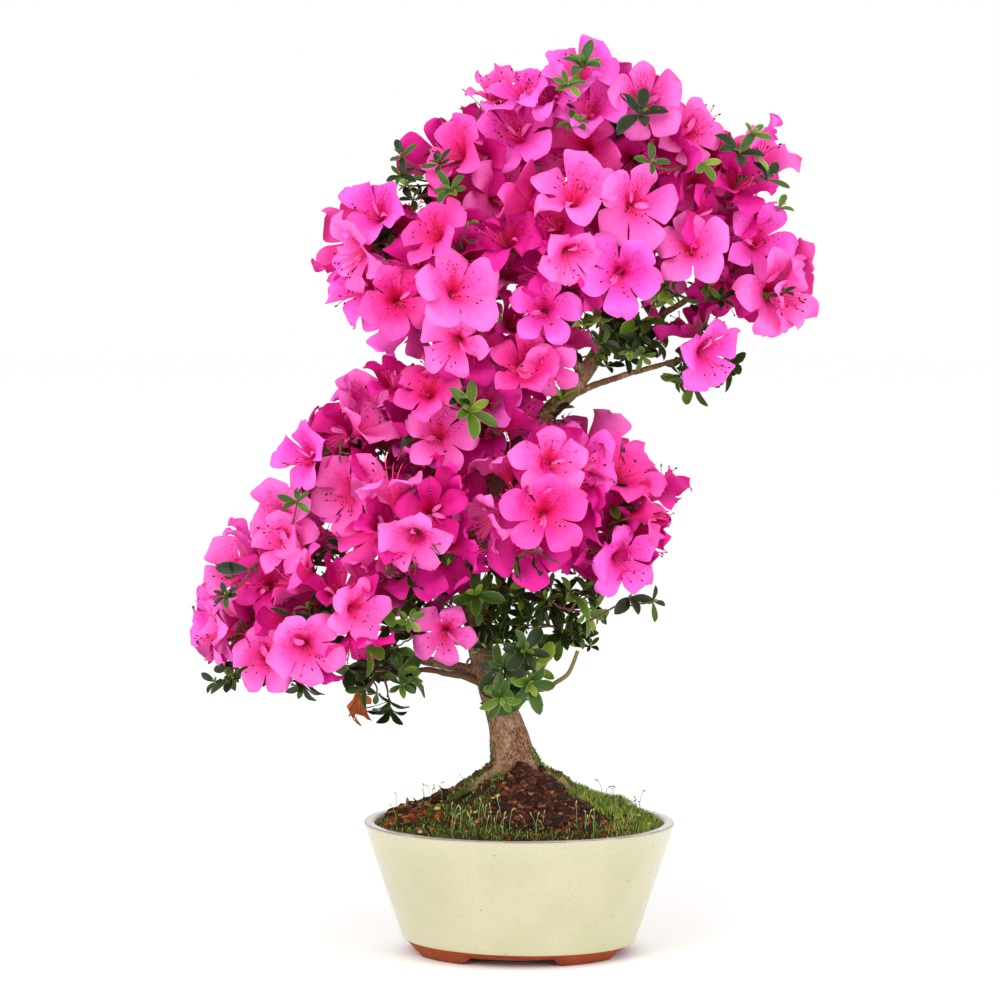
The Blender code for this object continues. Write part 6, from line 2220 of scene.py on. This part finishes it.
for middle, spread, count in CHIP_DRIFTS:
    for _ in range(count):
        angle = math.radians(dice.gauss(middle, spread))
        rho = dice.uniform(58.0, MOUND_RIM - 3.0)
        spot = raised(mound_top(rho, angle), dice.uniform(1.0, 2.4) * MM)
        pick = CHIP_ORANGE if dice.random() < 0.75 else CHIP_BROWN
        add_chip(ground, dice, spot, dice.uniform(4.0, 9.0) * MM, dice.uniform(2.0, 3.6) * MM, pick)
ground.make("mound_grains", [plain(*row, 0.82, 0.25) for row in GROUND_TONES], "soil")

# %% [markdown]
# ## Moss
# Moss is thousands of tiny upright shoots. Each is a bent blade of two faces, dense and dark on
# the left, bright and longer on the right. Thin stalks with spore capsules stand above it, pale
# green along the front and dark with nodding tips on the right.

# %% Moss blades and stalks
MOSS_TONES = [
    ("moss_dark", (56, 62, 20)), ("moss_green", (96, 118, 40)), ("moss_bright", (136, 162, 64)),
    ("moss_yellow", (186, 176, 92)), ("moss_stalk", (140, 166, 100)),
    ("moss_capsule", (176, 170, 104)), ("stalk_dark", (96, 80, 60)), ("capsule_dark", (48, 40, 34)),
]
# Finish numbers, in the order of the tones
BLADES = range(4)
STALK, CAPSULE, STALK_DARK, CAPSULE_DARK = range(4, 8)
MOSS_TRIES = 21000
ROOT_SHOWS_TO = 25.0
CLIMB_FROM = 96.0
ROOTS_BELOW = 104.0 * MM
# How often each tone of blade comes: on the mound, on its bright bed, on the left of the trunk,
# on the left roots and on the right
MOUND_MOSS, BED_MOSS = (5, 6, 2.5, 1.0), (1, 3, 5, 2)
TRUNK_MOSS, ROOT_MOSS, RIGHT_MOSS = (6, 4, 0.5, 0.2), (6, 5, 1.0, 0.4), (2, 5, 4, 0.5)
# Each kind of stalk: how many, their angles in degrees, their distance from the axis, their height
# and half width in mm, the finishes of stalk and capsule, and how far they nod
STALKS = [
    (32, (238.0, 314.0), (60.0, MOUND_RIM - 3.0), (5.0, 15.0), 0.17, (STALK, CAPSULE), 0.25),
    (16, (-42.0, 50.0), (54.0, MOUND_RIM - 2.0), (6.0, 12.0), 0.16, (STALK_DARK, CAPSULE_DARK), 0.6),
    (16, (100.0, 240.0), (40.0, MOUND_RIM - 3.0), (4.0, 10.0), 0.16, (STALK, CAPSULE), 0.5),
]


def add_blade(bundle, dice, spot, tall, wide, pick):
    """A bent blade: a strip that narrows to a point."""
    swing = dice.uniform(0, FULL_TURN)
    across = np.array([math.cos(swing), math.sin(swing), 0.0]) * wide
    lean = np.array([dice.gauss(0, 0.32), dice.gauss(0, 0.32), 0.0]) * tall
    up = np.array([0, 0, tall])
    knee = spot + up * 0.6 + lean * 0.35
    points = [spot - across, spot + across, knee + across * 0.7, knee - across * 0.7, spot + up + lean]
    bundle.add(points, [[0, 1, 2, 3], [3, 2, 4]], pick)


def add_stalk(bundle, dice, spot, tall, thick, picks, nod):
    """A thin stalk with a spore capsule that nods at its tip."""
    lean = np.array([dice.gauss(0, 0.16), dice.gauss(0, 0.16), 0.0]) * tall
    tip = raised(spot, tall) + lean
    path = bend(spot, raised(spot, tall * 0.6), tip, 6)
    add_tube(bundle, path, np.full(len(path), thick), 3, picks[0])
    way = unit(path[-1] - path[-2]) + np.array([dice.gauss(0, nod), dice.gauss(0, nod), -nod])
    add_ball(bundle, tip + unit(way) * 0.8 * MM, (1.3 * MM, 0.36 * MM), way, picks[1], 4, 5)


def set_blade(dice, spot, weights, talls, wides):
    """A blade of a weighted tone on trunk or root; its height and half width are spans in mm."""
    pick = one_of(dice, BLADES, weights)
    add_blade(moss, dice, spot, dice.uniform(*talls) * MM, dice.uniform(*wides) * MM, pick)


def trunk_moss(dice, count, angles, top, weights):
    """Moss that climbs the foot of the trunk, thinner as it gets higher."""
    axis, _, _ = along(limbs["trunk"], 0.02)
    for _ in range(count):
        angle = math.radians(dice.uniform(*angles))
        out = Vector((math.cos(angle), math.sin(angle), 0.0))
        z = CLIMB_FROM + (top - CLIMB_FROM) * dice.random() ** 1.6
        start = Vector((axis.x, axis.y, z * MM)) + out * 60 * MM + SHIFT
        hit, normal, _, _ = trunk_tree.ray_cast(start, -out)
        if hit is None:
            continue
        spot = np.array(hit - SHIFT - normal * 0.3 * MM)
        set_blade(dice, spot, weights, (1.6, 3.6), (0.25, 0.45))


def root_moss(dice, count, reach, weights):
    """Moss that creeps over the outer roots, between two distances to one side, in mm."""
    for _ in range(count):
        start = Vector((dice.uniform(*reach), dice.uniform(-26.0, 26.0), 130.0)) * MM + SHIFT
        hit, normal, _, _ = trunk_tree.ray_cast(start, DOWN)
        if hit is None or normal.z < 0.2 or (hit - SHIFT).z > ROOTS_BELOW:
            continue
        spot = raised(np.array(hit - SHIFT), -0.4 * MM)
        set_blade(dice, spot, weights, (1.4, 3.2), (0.30, 0.50))


moss = Bundle()
dice = random.Random(73)
for _ in range(MOSS_TRIES):
    rho, angle = scatter(dice, 12.0, MOUND_RIM)
    bright = bright_share(rho, angle)
    if dice.random() < grain_share(rho, angle) * 0.985:
        continue
    spot = heap_top(rho, angle) if rho > ROOT_SHOWS_TO else mound_top(rho, angle)
    bare = noise.noise((spot[0] / (13 * MM), spot[1] / (13 * MM), 20.0))
    if bare > 0.10 + 0.6 * bright and rho < 66.0 and dice.random() < 0.8:
        continue
    tall = dice.uniform(1.2, 2.6) * MM * (1.0 + 0.9 * bright)
    pick = one_of(dice, BLADES, BED_MOSS if bright > 0.5 else MOUND_MOSS)
    add_blade(moss, dice, raised(spot, -0.4 * MM), tall, dice.uniform(0.20, 0.36) * MM, pick)
trunk_moss(dice, 900, (140.0, 216.0), 116.0, TRUNK_MOSS)
trunk_moss(dice, 900, (-36.0, 48.0), 112.0, RIGHT_MOSS)
root_moss(dice, 3600, (-52.0, -24.0), ROOT_MOSS)
root_moss(dice, 500, (-24.0, -16.0), ROOT_MOSS)
root_moss(dice, 2400, (20.0, 50.0), RIGHT_MOSS)
for count, angles, reach, talls, thick, picks, nod in STALKS:
    for _ in range(count):
        angle = math.radians(dice.uniform(*angles))
        spot = mound_top(dice.uniform(*reach), angle)
        add_stalk(moss, dice, spot, dice.uniform(*talls) * MM, thick * MM, picks, nod)
moss.make("mound_moss", [plain(*row, 0.6, 0.25) for row in MOSS_TONES], "soil")

# %% [markdown]
# ## Stage, light and camera
# The plant stands on a plain pale floor in a bright, even studio: a white surround lights it from
# all sides, and two large soft lights give the petals some shape and the glaze a highlight. The
# camera looks slightly down through a long lens, as the photograph was taken.

# %% Floor
FLOOR_REACH, FLOOR_SIDES = 6.0, 64
floor_mesh = bpy.data.meshes.new("studio_floor")
turns = [k * math.pi / (FLOOR_SIDES / 2) for k in range(FLOOR_SIDES)]
ring = [(math.cos(turn) * FLOOR_REACH, math.sin(turn) * FLOOR_REACH, 0.0) for turn in turns]
floor_mesh.from_pydata(ring, [], [list(range(FLOOR_SIDES))])
floor_finish = Finish("pale_floor", {"Base Color": (0.99, 0.99, 0.99, 1.0), "Roughness": 0.9})
floor_mesh.materials.append(floor_finish.material)
shown(bpy.data.objects.new("studio_floor", floor_mesh))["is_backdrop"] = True

# %% Light
world = bpy.data.worlds.new("white_surround")
bpy.context.scene.world = world
world.use_nodes = True
surround = world.node_tree.nodes["Background"]
surround.inputs["Color"].default_value = (1.0, 1.0, 1.0, 1.0)
surround.inputs["Strength"].default_value = 1.0


LIT_SPOT = Vector((0.0, 0.0, 0.28))


def look(thing, way):
    """Point a light or camera along a way."""
    thing.rotation_mode = "QUATERNION"
    thing.rotation_quaternion = way.to_track_quat("-Z", "Y")


def soft_light(name, spot, size, power):
    """A large soft light that points at the middle of the plant."""
    data = bpy.data.lights.new(name, "AREA")
    data.shape = "RECTANGLE"
    data.size, data.size_y = size
    data.energy = power
    light = shown(bpy.data.objects.new(name, data))
    light.location = spot
    look(light, LIT_SPOT - Vector(spot))


soft_light("key_left", (-1.1, -1.5, 1.5), (1.2, 1.4), 20.0)
soft_light("fill_right", (1.4, -1.2, 0.9), (1.0, 1.4), 11.0)
print(len(bpy.data.lights), "soft lights")

# %% Camera
AIM = Vector((-0.0105, 0.0, 0.251)) + SHIFT
VIEW_DISTANCE = 2.4
VIEW_RISE = math.radians(5.0)
LENS, SENSOR_WIDTH = 157.0, 36.0
camera_data = bpy.data.cameras.new("front_view")
camera_data.lens = LENS
camera_data.sensor_width = SENSOR_WIDTH
camera = shown(bpy.data.objects.new("front_view", camera_data))
back = Vector((0.0, -math.cos(VIEW_RISE), math.sin(VIEW_RISE)))
camera.location = AIM + back * VIEW_DISTANCE
look(camera, -back)
bpy.context.scene.camera = camera
bpy.context.scene.view_settings.view_transform = "Standard"
bpy.context.scene.view_settings.look = "None"
print("the camera looks down by", round(math.degrees(VIEW_RISE), 1), "degrees")

# %% Compare the sizes and finish
boxes = {"cad": CAD_BOX, "visual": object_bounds()}
for key, (low, high) in boxes.items():
    print(key, [round(v, 4) for v in (*low, *high)])
